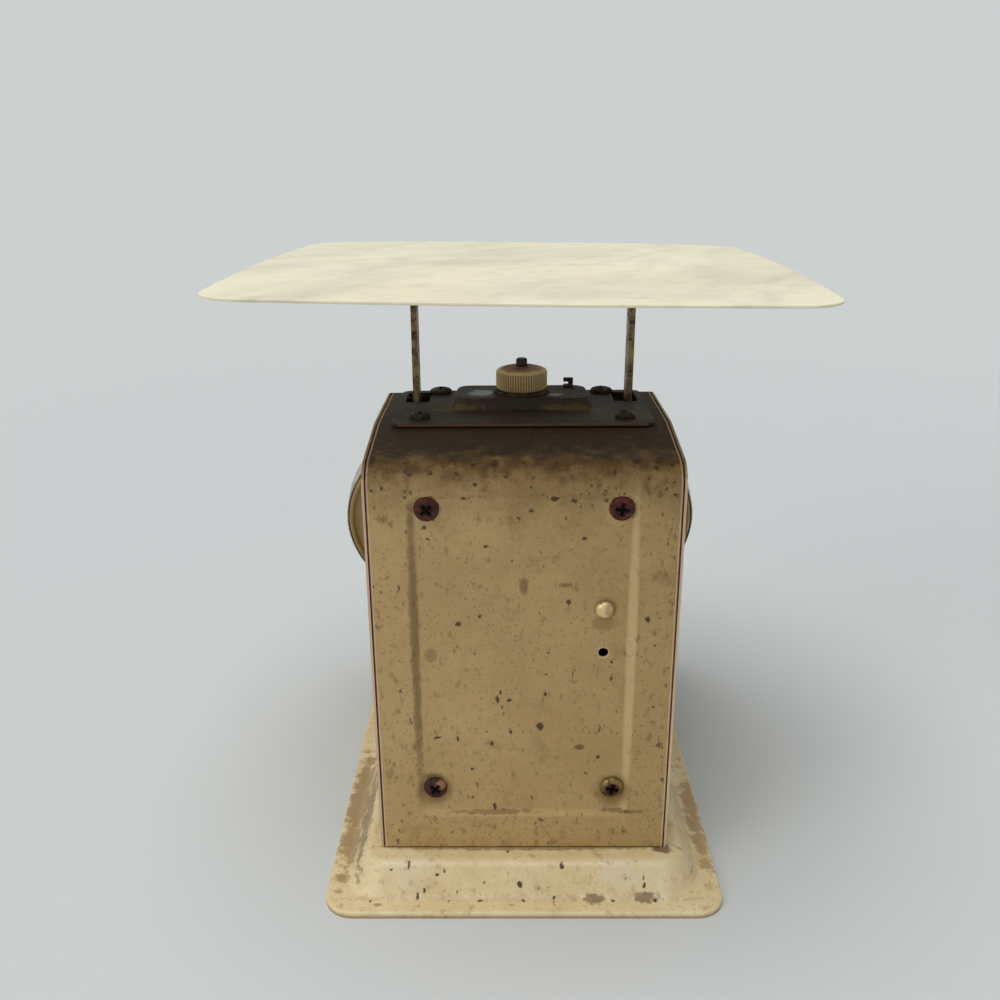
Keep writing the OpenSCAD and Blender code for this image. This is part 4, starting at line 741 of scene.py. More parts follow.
BASE_MARKS = marks(
    PIT, 0.95, 12.0, 6.0,
    (-15.2, 12.8, 1.7, 1.8), (1.7, 7.3, 1.9, 2.2), (-47.9, 6.9, 1.4, 1.8),
    (-47.6, 9.2, 0.9, 1.0), (34.9, 10.2, 1.4, 1.0), (31.9, 11.4, 0.9, 1.2),
    (42.6, 3.9, 1.2, 2.0), (39.8, 5.3, 0.9, 1.8), (16.0, 7.7, 0.9, 1.0),
    (46.3, 13.0, 0.9, 2.4), (53.3, 11.9, 1.1, 0.8), (-11.9, 3.2, 1.2, 1.2),
    (-69.2, 6.7, 2.4, 2.2), (26.5, 5.0, 0.8, 1.0), (-6.0, 6.0, 0.7, 0.9))
RIM_MARKS = marks(
    PIT, 0.9, 17.6, 0.4,
    (0.3, 3.0, 1.1, 2.0), (17.6, 3.0, 1.9, 2.0), (-35.3, 3.0, 1.3, 2.0), (-52.0, 3.0, 0.9, 2.0),
    (30.0, 3.0, 0.8, 2.0), (61.0, 3.0, 1.4, 2.0))
SPILL_MARKS = marks(BROWN, 0.6, 19.6, 0.5,
                    (58.0, 2.4, 3.4, 2.0), (5.0, 2.0, 5.0, 1.4), (-34.0, 1.8, 3.2, 1.6))
BASE_PAINT = AgedPaint(
    "base_stoving", "base_paint", light=shade(228, 207, 162), dull=shade(208, 184, 136),
    layers=(
        Bloom(color=shade(228, 220, 196), strength=0.6, scale=24.0, low=0.5, high=0.72),
        Bloom(color=shade(178, 148, 98), strength=0.5, scale=60.0, low=0.58, high=0.76),
        Patch(color=shade(134, 98, 54), strength=0.7, centre=(0.0745, REAR - 0.042, 0.004),
              size=(0.0065, 0.055, 0.01), rag=2.6, scale=170.0),
        Patch(color=BROWN, strength=0.65, centre=(0.067, REAR - 0.03, 0.008),
              size=(0.004, 0.045, 0.008), rag=2.8, scale=260.0),
        Patch(color=shade(146, 108, 62), strength=0.6, centre=(-0.0765, REAR - 0.03, 0.004),
              size=(0.0045, 0.045, 0.008), rag=2.8, scale=210.0),
        Patch(color=BROWN, strength=0.75, centre=on_rear(-27.2, 2.8, 16.0),
              size=(0.0055, 0.004, 0.002), rag=1.8, scale=420.0),
        Patch(color=BROWN, strength=0.75, centre=on_rear(-48.5, 3.2, 15.6),
              size=(0.0065, 0.004, 0.002), rag=1.8, scale=420.0),
        Patch(color=BROWN, strength=0.6, centre=on_rear(0.0, 14.3), size=(0.075, 0.0022, 0.004),
              rag=1.4, scale=330.0),
        Patch(color=BROWN, strength=0.85, centre=on_rear(-56.5, 14.3, 0.5),
              size=(0.006, 0.004, 0.004), rag=1.0, scale=330.0),
        Patch(color=TAN_DIRT, strength=0.26, centre=on_rear(0.0, 2.9, 16.2),
              size=(0.09, 0.002, 0.0014), rag=3.2, scale=420.0),
        # Rust along the rim's foot, darkened further as a painted shadow where the rim meets the
        # floor
        Film(color=shade(150, 112, 84), strength=0.6, start=-0.0016, end=-0.0008, rag=0.0006,
             scale=300.0, along=(0.0, 0.0, -1.0)),
        Bloom(color=shade(168, 134, 84), strength=0.5, scale=260.0, low=0.54, high=0.7),
        Bloom(color=BROWN, strength=0.5, scale=420.0, low=0.64, high=0.71),
        Spots(color=PIT, strength=0.9, scale=150.0, share=0.07, size=0.13, tall=1.0,
              raised=-0.8),
        Spots(color=BROWN, strength=0.55, scale=420.0, share=0.16, size=0.2, tall=1.0,
              raised=-0.2),
        Spots(color=shade(176, 142, 92), strength=0.3, scale=800.0, share=0.4, size=0.3, tall=1.0),
    ) + BASE_MARKS + RIM_MARKS + SPILL_MARKS, gloss=0.34, dents=1.2, bump=0.3)
# Grimy roof paint; among its layers are painted sky reflections and a painted highlight
GRIME_AND_SHEEN = AgedPaint(
    "roof_grime_and_sheen", "grimy_paint", light=shade(44, 29, 14), dull=shade(31, 20, 10),
    layers=(
        Bloom(color=shade(92, 76, 40), strength=0.6, scale=110.0, low=0.56, high=0.74),
        Spots(color=shade(26, 16, 9), strength=0.8, scale=330.0, share=0.35, size=0.28, tall=1.0,
              raised=0.3),
        Patch(color=shade(98, 82, 42), strength=0.7, centre=(0.0262, REAR - 0.0577, ROOF + 0.0016),
              size=(0.015, 0.0024, 0.0024), rag=2.0, scale=420.0),
        Patch(color=shade(98, 82, 42), strength=0.7,
              centre=(-0.0225, REAR - 0.0569, ROOF + 0.0016), size=(0.017, 0.0024, 0.0024),
              rag=2.0, scale=420.0),
        # Glossy smears beside the boss; their blue-grey is a painted reflection of the sky
        Patch(color=shade(112, 122, 122), strength=0.85, rougher=-0.3,
              centre=(0.0165, REAR - 0.0685, ROOF + 0.0055), size=(0.0062, 0.0072, 0.004),
              rag=1.3, scale=220.0),
        Patch(color=shade(112, 122, 122), strength=0.7, rougher=-0.3,
              centre=(-0.0135, REAR - 0.0645, ROOF + 0.0055), size=(0.004, 0.003, 0.004),
              rag=1.3, scale=220.0),
        # Painted highlight along the cap's rear edge
        Film(color=shade(150, 108, 80), strength=0.4, start=REAR - 0.0357, end=REAR - 0.03555,
             rag=0.0004, scale=60.0, along=(0.0, 1.0, 0.0)),
    ), gloss=0.64, bump=0.4)
# The housing's cream paint darkened to olive-tan: painted shade on the dial pan, which shows from
# behind in shadow
SHADED_PAN_PAINT = AgedPaint(
    "shaded_pan_stoving", "pan_paint", light=shade(176, 148, 96), dull=shade(148, 120, 72),
    layers=(Bloom(color=TAN_DIRT, strength=0.5, scale=90.0, low=0.5, high=0.7),) + SMALL_SPOTS[:1],
    gloss=0.4)
PLATFORM = AgedPaint(
    "platform_enamel", "platform_metal", light=shade(252, 243, 210), dull=shade(242, 232, 198),
    layers=(
        Wisps(color=shade(214, 208, 184), strength=0.75, turn=-38.0, stretch=2.2, scale=15.0,
              low=0.42, high=0.68),
        Wisps(color=shade(196, 190, 168), strength=0.4, turn=-30.0, stretch=4.0, scale=60.0,
              low=0.5, high=0.74),
        Bloom(color=shade(206, 200, 178), strength=0.45, scale=70.0, low=0.5, high=0.72),
        Wisps(color=shade(250, 244, 222), strength=0.6, turn=52.0, stretch=3.0, scale=28.0,
              low=0.54, high=0.72),
        Spots(color=shade(178, 164, 132), strength=0.4, scale=160.0, share=0.08, size=0.12,
              tall=1.0),
    ), gloss=0.36, tone_scale=16.0, dents=0.3, bump=0.12)
FACE = AgedPaint(
    "card_print", "printed_dial", light=shade(238, 230, 206), dull=shade(226, 214, 184),
    layers=(Bloom(color=shade(204, 182, 138), strength=0.45, scale=30.0, low=0.58, high=0.75),
            Spots(color=shade(170, 140, 92), strength=0.5, scale=170.0, share=0.1, size=0.14,
                  tall=1.0)), gloss=0.45, bump=0.05)
INK = AgedPaint("black_ink", "black_paint", light=shade(30, 28, 26), dull=shade(44, 41, 37),
                gloss=0.5, bump=0.05)
POINTER_PAINT = AgedPaint(
    "pointer_red", "black_paint", light=shade(150, 32, 24), dull=shade(120, 26, 20),
    layers=(Spots(color=PIT, strength=0.8, scale=400.0, share=0.1, size=0.2, tall=1.0),),
    gloss=0.36, bump=0.05)
IVORY = AgedPaint(
    "knob_ivory", "aged_ivory", light=shade(214, 188, 134), dull=shade(190, 158, 104),
    layers=(
        Settled(color=shade(112, 82, 44), strength=0.75),
        Film(color=shade(120, 66, 36), strength=0.8, start=ROOF + 0.0151, end=ROOF + 0.0158,
             rag=0.0012, scale=300.0),
        Film(color=shade(84, 46, 24), strength=0.7, start=ROOF + 0.0156, end=ROOF + 0.0166,
             rag=0.002, scale=260.0),
        Spots(color=shade(120, 88, 46), strength=0.6, scale=700.0, share=0.2, size=0.3,
              tall=2.0),
    ), gloss=0.36, tone_scale=120.0, bump=0.15)
NICKEL = Metal("dull_nickel", "bezel_metal", shade(206, 200, 188), shade(172, 164, 148),
               shade(110, 88, 56), 0.16, 0.26, lines=(1.0, 1.0, 1.0), fleck_share=0.12)
STRAP = Metal("drawn_strap", "strap_steel", shade(160, 138, 100), shade(112, 92, 62),
              shade(78, 56, 32), 0.45, 0.42, metallic=0.55, fleck_share=0.3)
ZINC = Metal("dull_zinc", "plated_steel", shade(176, 176, 172), shade(142, 142, 138),
             shade(98, 86, 68), 0.2, 0.38)
DARK = Metal("browned_steel", "dark_steel", shade(70, 64, 58), shade(44, 40, 36),
             shade(52, 34, 22), 0.4, 0.42)
CROSS_DIRT = Settled(color=PITCH, strength=0.94, rougher=0.3)
RUSTED = Metal("rusted_screw", "rusted_screws", shade(118, 44, 26), shade(86, 32, 20),
               shade(60, 24, 15), 0.5, 0.46, metallic=0.3, fleck_share=0.35, bump=0.5,
               layers=(CROSS_DIRT,))
FLAKED = Metal("flaked_screw", "rusted_screws", shade(92, 42, 28), shade(62, 26, 18),
               shade(40, 18, 12), 0.5, 0.44, metallic=0.35, fleck_share=0.35, bump=0.5,
               layers=(Patch(color=shade(176, 130, 96), strength=0.8,
                             centre=on_rear(33.2, 44.8, 0.5), size=(0.0028, 0.006, 0.0024),
                             rag=0.8, scale=420.0), CROSS_DIRT))
OLIVE = Metal("worn_brass_screw", "grimy_screws", shade(150, 124, 70), shade(104, 80, 42),
              shade(62, 38, 20), 0.4, 0.36, metallic=0.6,
              layers=(Patch(color=shade(74, 32, 20), strength=0.9,
                            centre=on_rear(-35.3, 42.6, 0.5), size=(0.0040, 0.006, 0.0040),
                            rag=0.7, scale=420.0), CROSS_DIRT))
BROWNED = Metal("browned_screw", "grimy_screws", shade(74, 54, 38), shade(48, 32, 22),
                shade(34, 21, 13), 0.6, 0.5, metallic=0.4)
BRASS = Metal("worn_brass", "brass", shade(236, 216, 160), shade(214, 188, 128),
              shade(150, 108, 66), 0.14, 0.34, metallic=0.5, fleck_share=0.12,
              # Painted shade on the stud dome's -X side, away from the light
              layers=(Patch(color=shade(176, 132, 96), strength=0.6,
                            centre=on_rear(-32.0, 121.6, 1.0), size=(0.0024, 0.006, 0.003)),))
LENS = Glass("glass_disc", "clear_lens", (0.96, 0.98, 0.97, 1.0))


class Shape:
    """A mesh in the making. Its operators work in millimetres in a local frame."""

    def __init__(self) -> None:
        """Start with an empty mesh."""
        self.bm = bmesh.new()
        self.grime = self.bm.verts.layers.float.new("grime")

    def rounded(self, width: float, depth: float, radius: float, height: float,
                centre: tuple[float, float] = (0.0, 0.0), segments: int = 8) -> Edges:
        """Draw a rectangle with rounded corners.

        Args:
            width: Size along X.
            depth: Size along Y.
            radius: Corner radius.
            height: Its place along Z.
            centre: Its middle in X and Y.
            segments: Edges in each corner.

        Returns:
            Its edges, with no face.
        """
        corners = [self.bm.verts.new((centre[0] + x * width / 2, centre[1] + y * depth / 2, height))
                   for x, y in ((-1, -1), (1, -1), (1, 1), (-1, 1))]
        before = set(self.bm.faces)
        self.bm.faces.new(corners)
        bmesh.ops.bevel(self.bm, geom=corners, offset=radius, offset_type="OFFSET",
                        segments=segments, profile=0.5, affect="VERTICES", material=-1)
        face = next(f for f in self.bm.faces if f not in before)
        edges = list(face.edges)
        bmesh.ops.delete(self.bm, geom=[face], context="FACES_ONLY")
        return edges

    def ring(self, radius: float, height: float, segments: int = 64,
             centre: tuple[float, float] = (0.0, 0.0)) -> Edges:
        """Draw a circle and return its edges."""
        made = bmesh.ops.create_circle(
            self.bm, cap_ends=False, radius=radius, segments=segments,
            matrix=Matrix.Translation((centre[0], centre[1], height)))
        return list({edge for vert in made["verts"] for edge in vert.link_edges})

    def bridge(self, loops: Sequence[Edges]) -> None:
        """Join each loop to the next with a band of faces."""
        for first, second in zip(loops, loops[1:]):
            # Apart along Z, two rings of one plane pair up corner by corner
            verts = list({vert for edge in second for vert in edge.verts})
            bmesh.ops.translate(self.bm, vec=(0, 0, APART), verts=verts)
            bmesh.ops.bridge_loops(self.bm, edges=first + second)
            bmesh.ops.translate(self.bm, vec=(0, 0, -APART), verts=verts)

    def fill(self, *loops: Edges) -> None:
        """Fill the flat area between an outer loop and any loops inside it."""
        edges = [edge for loop in loops for edge in loop]
        bmesh.ops.triangle_fill(self.bm, use_beauty=True, use_dissolve=False, edges=edges)

    def cap(self, loop: Edges) -> bmesh.types.BMFace:
        """Close a loop with one face."""
        return bmesh.ops.edgeloop_fill(self.bm, edges=loop)["faces"][0]

    def lathe(self, profile: Sequence[tuple[float, float]], segments: int = 72) -> None:
        """Spin a profile of radii and heights round the Z axis."""
        verts = [self.bm.verts.new((radius, 0.0, height)) for radius, height in profile]
        edges = [self.bm.edges.new(pair) for pair in zip(verts, verts[1:])]
        bmesh.ops.spin(self.bm, geom=verts + edges, cent=(0, 0, 0), axis=(0, 0, 1),
                       angle=math.tau, steps=segments, use_merge=True, use_duplicate=False)

    def soften(self, edges: Iterable[bmesh.types.BMEdge], offset: float,
               segments: int = 3) -> None:
        """Round some edges."""
        bmesh.ops.bevel(self.bm, geom=list(edges), offset=offset, offset_type="OFFSET",
                        segments=segments, profile=0.5, affect="EDGES", material=-1,
                        clamp_overlap=True)

    def done(self, name: str, place: Matrix, facing: Vector | None = None,
             sheet: float = 0.0, rounding: float = 0.0) -> bpy.types.Object:
        """Turn the mesh into an object, with its place in its mesh.

        Args:
            name: Name of the object.
            place: Local frame in the part's frame, with its origin in metres.
            facing: Local direction that an open sheet's outer side faces.
            sheet: Thickness added behind the outer side, in millimetres.
            rounding: Width of the rounding on sharp edges, in millimetres.

        Returns:
            The object.
        """
        bm = self.bm
        bmesh.ops.remove_doubles(bm, verts=bm.verts, dist=TINY)
        bmesh.ops.recalc_face_normals(bm, faces=bm.faces)
        if facing is not None:
            bm.normal_update()
            lean = sum((face.normal * face.calc_area() for face in bm.faces), Vector())
            if lean.dot(facing) < 0:
                bmesh.ops.reverse_faces(bm, faces=bm.faces)
        bmesh.ops.transform(bm, matrix=place @ Matrix.Scale(MM, 4), verts=bm.verts)
        if place.determinant() < 0:
            # A frame that mirrors turns every face inside out
            bmesh.ops.reverse_faces(bm, faces=bm.faces)
        mesh = bpy.data.meshes.new(name)
        bm.to_mesh(mesh)
        bm.free()
        return Shape.finished(name, mesh, sheet, rounding)

    @staticmethod
    def finished(name: str, mesh: bpy.types.Mesh, sheet: float = 0.0,
                 rounding: float = 0.0) -> bpy.types.Object:
        """Link a mesh as a smooth object with its finishing modifiers."""
        mesh.polygons.foreach_set("use_smooth", [True] * len(mesh.polygons))
        piece = bpy.data.objects.new(name, mesh)
        bpy.context.scene.collection.objects.link(piece)
        if sheet:
            solid = piece.modifiers.new("sheet", "SOLIDIFY")
            solid.thickness = sheet * MM
            solid.offset = -1.0
            solid.use_even_offset = True
        if rounding:
            bevel = piece.modifiers.new("rounding", "BEVEL")
            bevel.width = rounding * MM
            bevel.segments = 2
            bevel.limit_method = "ANGLE"
            bevel.angle_limit = math.radians(35)
        weighted = piece.modifiers.new("shading", "WEIGHTED_NORMAL")
        weighted.keep_sharp = True
        return piece


def merged_copy(node: str) -> bmesh.types.BMesh:
    """Copy a node's mesh with its doubles merged and its flat faces joined.

    Args:
        node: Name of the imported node.

    Returns:
        The copy, in metres in the part's frame.
    """
    bm = bmesh.new()
    bm.from_mesh(frame["nodes"][node].data)
    bmesh.ops.remove_doubles(bm, verts=bm.verts, dist=1e-6)
    bmesh.ops.dissolve_limit(bm, angle_limit=math.radians(1), verts=bm.verts, edges=bm.edges)
    return bm


def linked(bm: bmesh.types.BMesh, name: str, rounding: float) -> bpy.types.Object:
    """Turn a finished copy into a piece with its sharp edges rounded."""
    mesh = bpy.data.meshes.new(name)
    bm.to_mesh(mesh)
    bm.free()
    return Shape.finished(name, mesh, rounding=rounding)


def place_piece(piece: bpy.types.Object, finish: Finish, body: Body, *nodes: str) -> None:
    """Give a piece its finish and its body, and let it stand for the nodes it replaces."""
    piece.data.materials.clear()
    piece.data.materials.append(finish.build())
    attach(piece, body.value)
    if nodes:
        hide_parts(*nodes)
    LOG.info("%s rides on %s in %s", piece.name, body.value, finish.name)


def dress_nodes(finish: Finish, *nodes: str) -> None:
    """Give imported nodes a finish, through their objects' material slots."""
    material = finish.build()
    for node in nodes:
        for slot in frame["nodes"][node].material_slots:
            slot.link = "OBJECT"
            slot.material = material
        LOG.info("%s stays as packed, in %s", node, finish.name)


def stamped(run: float, depth: float, steps: int = 8) -> list[tuple[float, float]]:
    """Give the inward offsets and drops of a soft stamped border."""
    shares = [k / steps for k in range(steps + 1)]
    return [(run * t, depth * t * t * (3 - 2 * t)) for t in shares]


@dataclass(frozen=True)
class RoofOpenings:
    """Where the straps and the spindle pass through the roof, in millimetres."""

    strap_sheet: float = 2.4
    slot: tuple[float, float] = (10.0, 17.0)
    shift: float = 1.35

    def slot_places(self) -> list[tuple[float, float]]:
        """Give the middle of each slot, across and as a place along Y."""
        low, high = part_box("right_strap")
        across = max(abs(low.x), abs(high.x)) / MM - self.strap_sheet / 2 - self.shift
        along = (low.y + high.y) / 2 / MM + self.shift
        return [(side * across, along) for side in (-1, 1)]

    def spindle_y(self) -> float:
        """Give the spindle's place along Y."""
        low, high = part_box("zero_knob")
        return (low.y + high.y) / 2 / MM


OPENINGS = RoofOpenings()


@dataclass
class Base:
    """Stamped base: a plateau, a sloped wall and a flat flange, open underneath."""

    sheet: float = 1.0
    wall_run: float = 7.7
    flange: float = 7.8
    flange_top: float = 2.7
    rim_radius: float = 12.0
    ridge_radius: float = 9.0
    ridge_round: float = 2.4
    foot_round: float = 2.0
    rim_round: float = 1.3

    def build(self) -> None:
        """Model the base and dress it."""
        low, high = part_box("base_pan")
        width, depth = (high.x - low.x) / MM, (high.y - low.y) / MM
        top = (high.z - low.z) / MM
        foot = 2 * self.flange
        ridge = foot + 2 * self.wall_run
        form = Shape()
        loops = [
            form.rounded(width - ridge, depth - ridge, self.ridge_radius, top),
            form.rounded(width - foot, depth - foot, self.ridge_radius + self.wall_run,
                         self.flange_top),
            form.rounded(width, depth, self.rim_radius, self.flange_top),
            form.rounded(width, depth, self.rim_radius, 0.0),
        ]
        form.bridge(loops)
        form.cap(loops[0])
        for loop, size in ((loops[0], self.ridge_round), (loops[1], self.foot_round),
                           (loops[2], self.rim_round)):
            form.soften([edge for edge in loop if edge.is_valid], size, 5)
        middle = Matrix.Translation(((low.x + high.x) / 2, (low.y + high.y) / 2, low.z))
        piece = form.done("base", middle, Vector((0, 0, 1)), self.sheet, 0.12)
        place_piece(piece, BASE_PAINT, Body.HOUSING, "base_pan")
        dress_nodes(ZINC, "base_screws", "base_nuts")


@dataclass
class RearCover:
    """Rear panel, its bend and the roof in one sheet, with a stamped recess."""

    sheet: float = 0.9
    bend: float = 10.0
    pitch: float = 8.0
    level_depth: float = 41.7
    recess_side: float = 14.3
    recess_foot: float = 14.9
    recess_head: float = 14.8
    recess_depth: float = 1.5
    recess_run: float = 3.4
    recess_round: float = 5.5
    hole: float = 3.9
    hole_drop: float = 18.1
    spindle_hole: float = 12.6
    slot_room: float = 1.0

    def build(self) -> None:
        """Model the cover and dress it."""
        low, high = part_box("rear_cover")
        width, rise = (high.x - low.x) / MM, (high.z - low.z) / MM
        reach = (high.y - low.y) / MM
        slope = math.radians(self.pitch)
        bend_start = rise - self.bend * math.cos(slope) - math.tan(slope) * (
            self.level_depth - self.bend * (1 - math.sin(slope)))
        form = Shape()
        self._level(form, width, rise, reach)
        self._panel(form, width, bend_start, rise)
        self._bend_and_slope(form, width, bend_start, rise)
        # Local X is the part's X, local Y is up and local Z is out of the rear face
        upright = Matrix(((1, 0, 0, 0), (0, 0, 1, high.y), (0, 1, 0, low.z), (0, 0, 0, 1)))
        piece = form.done("rear_cover_sheet", upright, Vector((0, 0.2, 1)), self.sheet, 0.12)
        place_piece(piece, COVER_PAINT, Body.HOUSING, "rear_cover")

    def _level(self, form: Shape, width: float, rise: float, reach: float) -> None:
        """Fill the level part of the roof round the slots and the spindle's hole."""
        bm = form.bm
        corners = [bm.verts.new((x * width / 2, y, 0)) for x, y in (
            (-1, self.level_depth), (1, self.level_depth), (1, reach), (-1, reach))]
        loops = [[bm.edges.new((corners[k], corners[k - 1])) for k in range(4)]]
        rear = REAR / MM
        for x, y in OPENINGS.slot_places():
            loops.append(form.rounded(OPENINGS.slot[0] + self.slot_room,
                                      OPENINGS.slot[1] + self.slot_room, 1.5, 0.0,
                                      (x, rear - y), 3))
        loops.append(form.ring(self.spindle_hole / 2, 0.0, 40, (0.0, rear - OPENINGS.spindle_y())))
        form.fill(*loops)
        lay = Matrix(((1, 0, 0, 0), (0, 0, 1, rise), (0, -1, 0, 0), (0, 0, 0, 1)))
        bmesh.ops.transform(bm, matrix=lay, verts=bm.verts)

    def _panel(self, form: Shape, width: float, bend_start: float, rise: float) -> None:
        """Fill the flat rear panel round its stamped recess and its plain hole."""
        height = rise - self.recess_foot - self.recess_head
        middle = (0.0, self.recess_foot + height / 2)
        inner = width - 2 * self.recess_side
        loops = []
        for inset, drop in stamped(self.recess_run, self.recess_depth):
            loops.append(form.rounded(inner - 2 * inset, height - 2 * inset,
                                      self.recess_round - inset * 0.6, -drop, middle))
        form.bridge(loops)
        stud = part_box("brass_stud")
        spot = ((stud[0].x + stud[1].x) / 2 / MM,
                ((stud[0].z + stud[1].z) / 2 - FOOT) / MM - self.hole_drop)
        form.fill(loops[-1], form.ring(self.hole / 2, -self.recess_depth, 32, spot))
        corners = [form.bm.verts.new((x, y, 0)) for x, y in (
            (-width / 2, 0), (width / 2, 0), (width / 2, bend_start), (-width / 2, bend_start))]
        edges = [form.bm.edges.new((corners[k], corners[k - 1])) for k in range(4)]
        form.fill(edges, loops[0])

    def _bend_and_slope(self, form: Shape, width: float, bend_start: float,
                        rise: float) -> None:
        """Carry the panel's top edge round the bend and up to the level roof."""
        bm = form.bm
        ends = [bm.verts.new((side * width / 2, bend_start, 0)) for side in (-1, 1)]
        geometry: list[Any] = ends + [bm.edges.new(ends)]
        made = bmesh.ops.spin(bm, geom=geometry, cent=(0, bend_start, -self.bend),
                              axis=(1, 0, 0), angle=-math.radians(90 - self.pitch), steps=12,
                              use_duplicate=False)
        edge = next(item for item in made["geom_last"] if isinstance(item, bmesh.types.BMEdge))
        for item in bmesh.ops.extrude_edge_only(bm, edges=[edge])["geom"]:
            if isinstance(item, bmesh.types.BMVert):
                item.co.y = rise
                item.co.z = -self.level_depth


@dataclass
class FrontShell:
    """Side walls and sloped front in one folded sheet."""

    fold_round: float = 1.6

    def build(self) -> None:
        """Round the folds of the shell's copy and dress it."""
        bm = merged_copy("front_shell")
        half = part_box("front_shell")[1].x
        slope_normal = Vector(next(j for j in frame["joints"]
                                   if j["name"] == "pointer_spin")["axis"])
        folds = [edge for edge in bm.edges
                 if len(edge.link_faces) == 2
                 and all(abs(abs(vert.co.x) - half) < 1e-5 for vert in edge.verts)
                 and any(face.normal.dot(slope_normal) > 0.999 for face in edge.link_faces)]
        bmesh.ops.bevel(bm, geom=folds, offset=self.fold_round * MM, offset_type="OFFSET",
                        segments=4, profile=0.5, affect="EDGES", material=-1)
        LOG.info("front shell: %d folds rounded", len(folds))
        place_piece(linked(bm, "front_sheet", 0.12), SHELL_PAINT, Body.HOUSING, "front_shell")


@dataclass
class RoofCap:
    """Plate on the roof with a raised boss and slots for the straps."""

    sheet: float = 1.0
    corner: float = 4.0
    boss_width: float = 59.0
    boss_depth: float = 29.0
    boss_round: float = 6.0
    boss_run: float = 3.0

    def build(self) -> None:
        """Model the cap, the stop tab and their finish."""
        low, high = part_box("roof_cap")
        width, depth = (high.x - low.x) / MM, (high.y - low.y) / MM
        middle_y = (low.y + high.y) / 2
        boss = (high.z - low.z) / MM - self.sheet
        form = Shape()
        rim = form.rounded(width, depth, self.corner, 0.0)
        loops = [form.rounded(self.boss_width - 2 * inset, self.boss_depth - 2 * inset,
                              self.boss_round - inset * 0.4, rise,
                              (0.0, OPENINGS.spindle_y() - middle_y / MM))
                 for inset, rise in stamped(self.boss_run, boss)]
        form.bridge(loops)
        form.cap(loops[-1])
        slots = [form.rounded(*OPENINGS.slot, 1.0, 0.0, (x, y - middle_y / MM), 3)
                 for x, y in OPENINGS.slot_places()]
        form.fill(rim, loops[0], *slots)
        place = Matrix.Translation((0.0, middle_y, low.z + self.sheet * MM))
        piece = form.done("roof_plate", place, Vector((0, 0, 1)), self.sheet, 0.2)
        place_piece(piece, GRIME_AND_SHEEN, Body.HOUSING, "roof_cap")
        tab = linked(merged_copy("stop_tab"), "bent_tab", 0.25)
        place_piece(tab, GRIME_AND_SHEEN, Body.HOUSING, "stop_tab")


@dataclass
class CrossScrew:
    """Pan head with a cross recess."""

    diameter: float = 9.4
    height: float = 2.4
    cross: float = 4.8
    blade: float = 1.1
    depth: float = 1.7
    taper: float = 0.8
    # Shares of the radius and of the height, up the side of the head
    side: tuple[tuple[float, float], ...] = (
        (0.97, 0.0), (1.0, 0.12), (0.99, 0.3), (0.93, 0.52), (0.82, 0.72), (0.68, 0.86))
    crown: tuple[float, float] = (0.62, 0.9)

    def head(self, name: str, place: Matrix) -> bpy.types.Object:
        """Model one head standing on the local XY plane.

        Args:
            name: Name of the piece.
            place: Its seat in the part's frame.

        Returns:
            The piece.
        """
        form = Shape()
        radius = self.diameter / 2
        rings = [form.ring(radius * share, self.height * level, 48)
                 for share, level in self.side]
        form.bridge(rings)
        form.cap(rings[0])
        rim, level = self.crown
        top = form.ring(radius * rim, self.height * level, 48)
        form.bridge([rings[-1], top])
        bm = form.bm
        grid = bmesh.ops.create_grid(bm, x_segments=3, y_segments=3, size=1.5,
                                     matrix=Matrix.Translation((0, 0, self.height * level)))
        for vert in grid["verts"]:
            for axis in (0, 1):
                far = self.cross if abs(vert.co[axis]) > 1 else self.blade
                vert.co[axis] = math.copysign(far, vert.co[axis]) / 2
        faces = {face for vert in grid["verts"] for face in vert.link_faces}
        corners = [face for face in faces
                   if min(abs(face.calc_center_median().x), abs(face.calc_center_median().y)) > 0.5]
        cross = [face for face in faces if face not in corners]
        bmesh.ops.delete(bm, geom=corners, context="FACES")
        border = list(dict.fromkeys(edge for face in cross for edge in face.edges
                                    if len(edge.link_faces) == 1))
        bmesh.ops.delete(bm, geom=cross, context="FACES_KEEP_BOUNDARY")
        form.fill(top, border)
        walls = bmesh.ops.extrude_edge_only(bm, edges=border)["geom"]
        sunk = {item for item in walls if isinstance(item, bmesh.types.BMVert)}
        for vert in sunk:
            vert.co.z -= self.depth
            vert.co.x *= self.taper
            vert.co.y *= self.taper
        form.cap([item for item in walls if isinstance(item, bmesh.types.BMEdge)
                  and set(item.verts) <= sunk])
        for vert in sunk | {vert for edge in border for vert in edge.verts}:
            vert[form.grime] = 1.0
        return form.done(name, place, rounding=0.08)


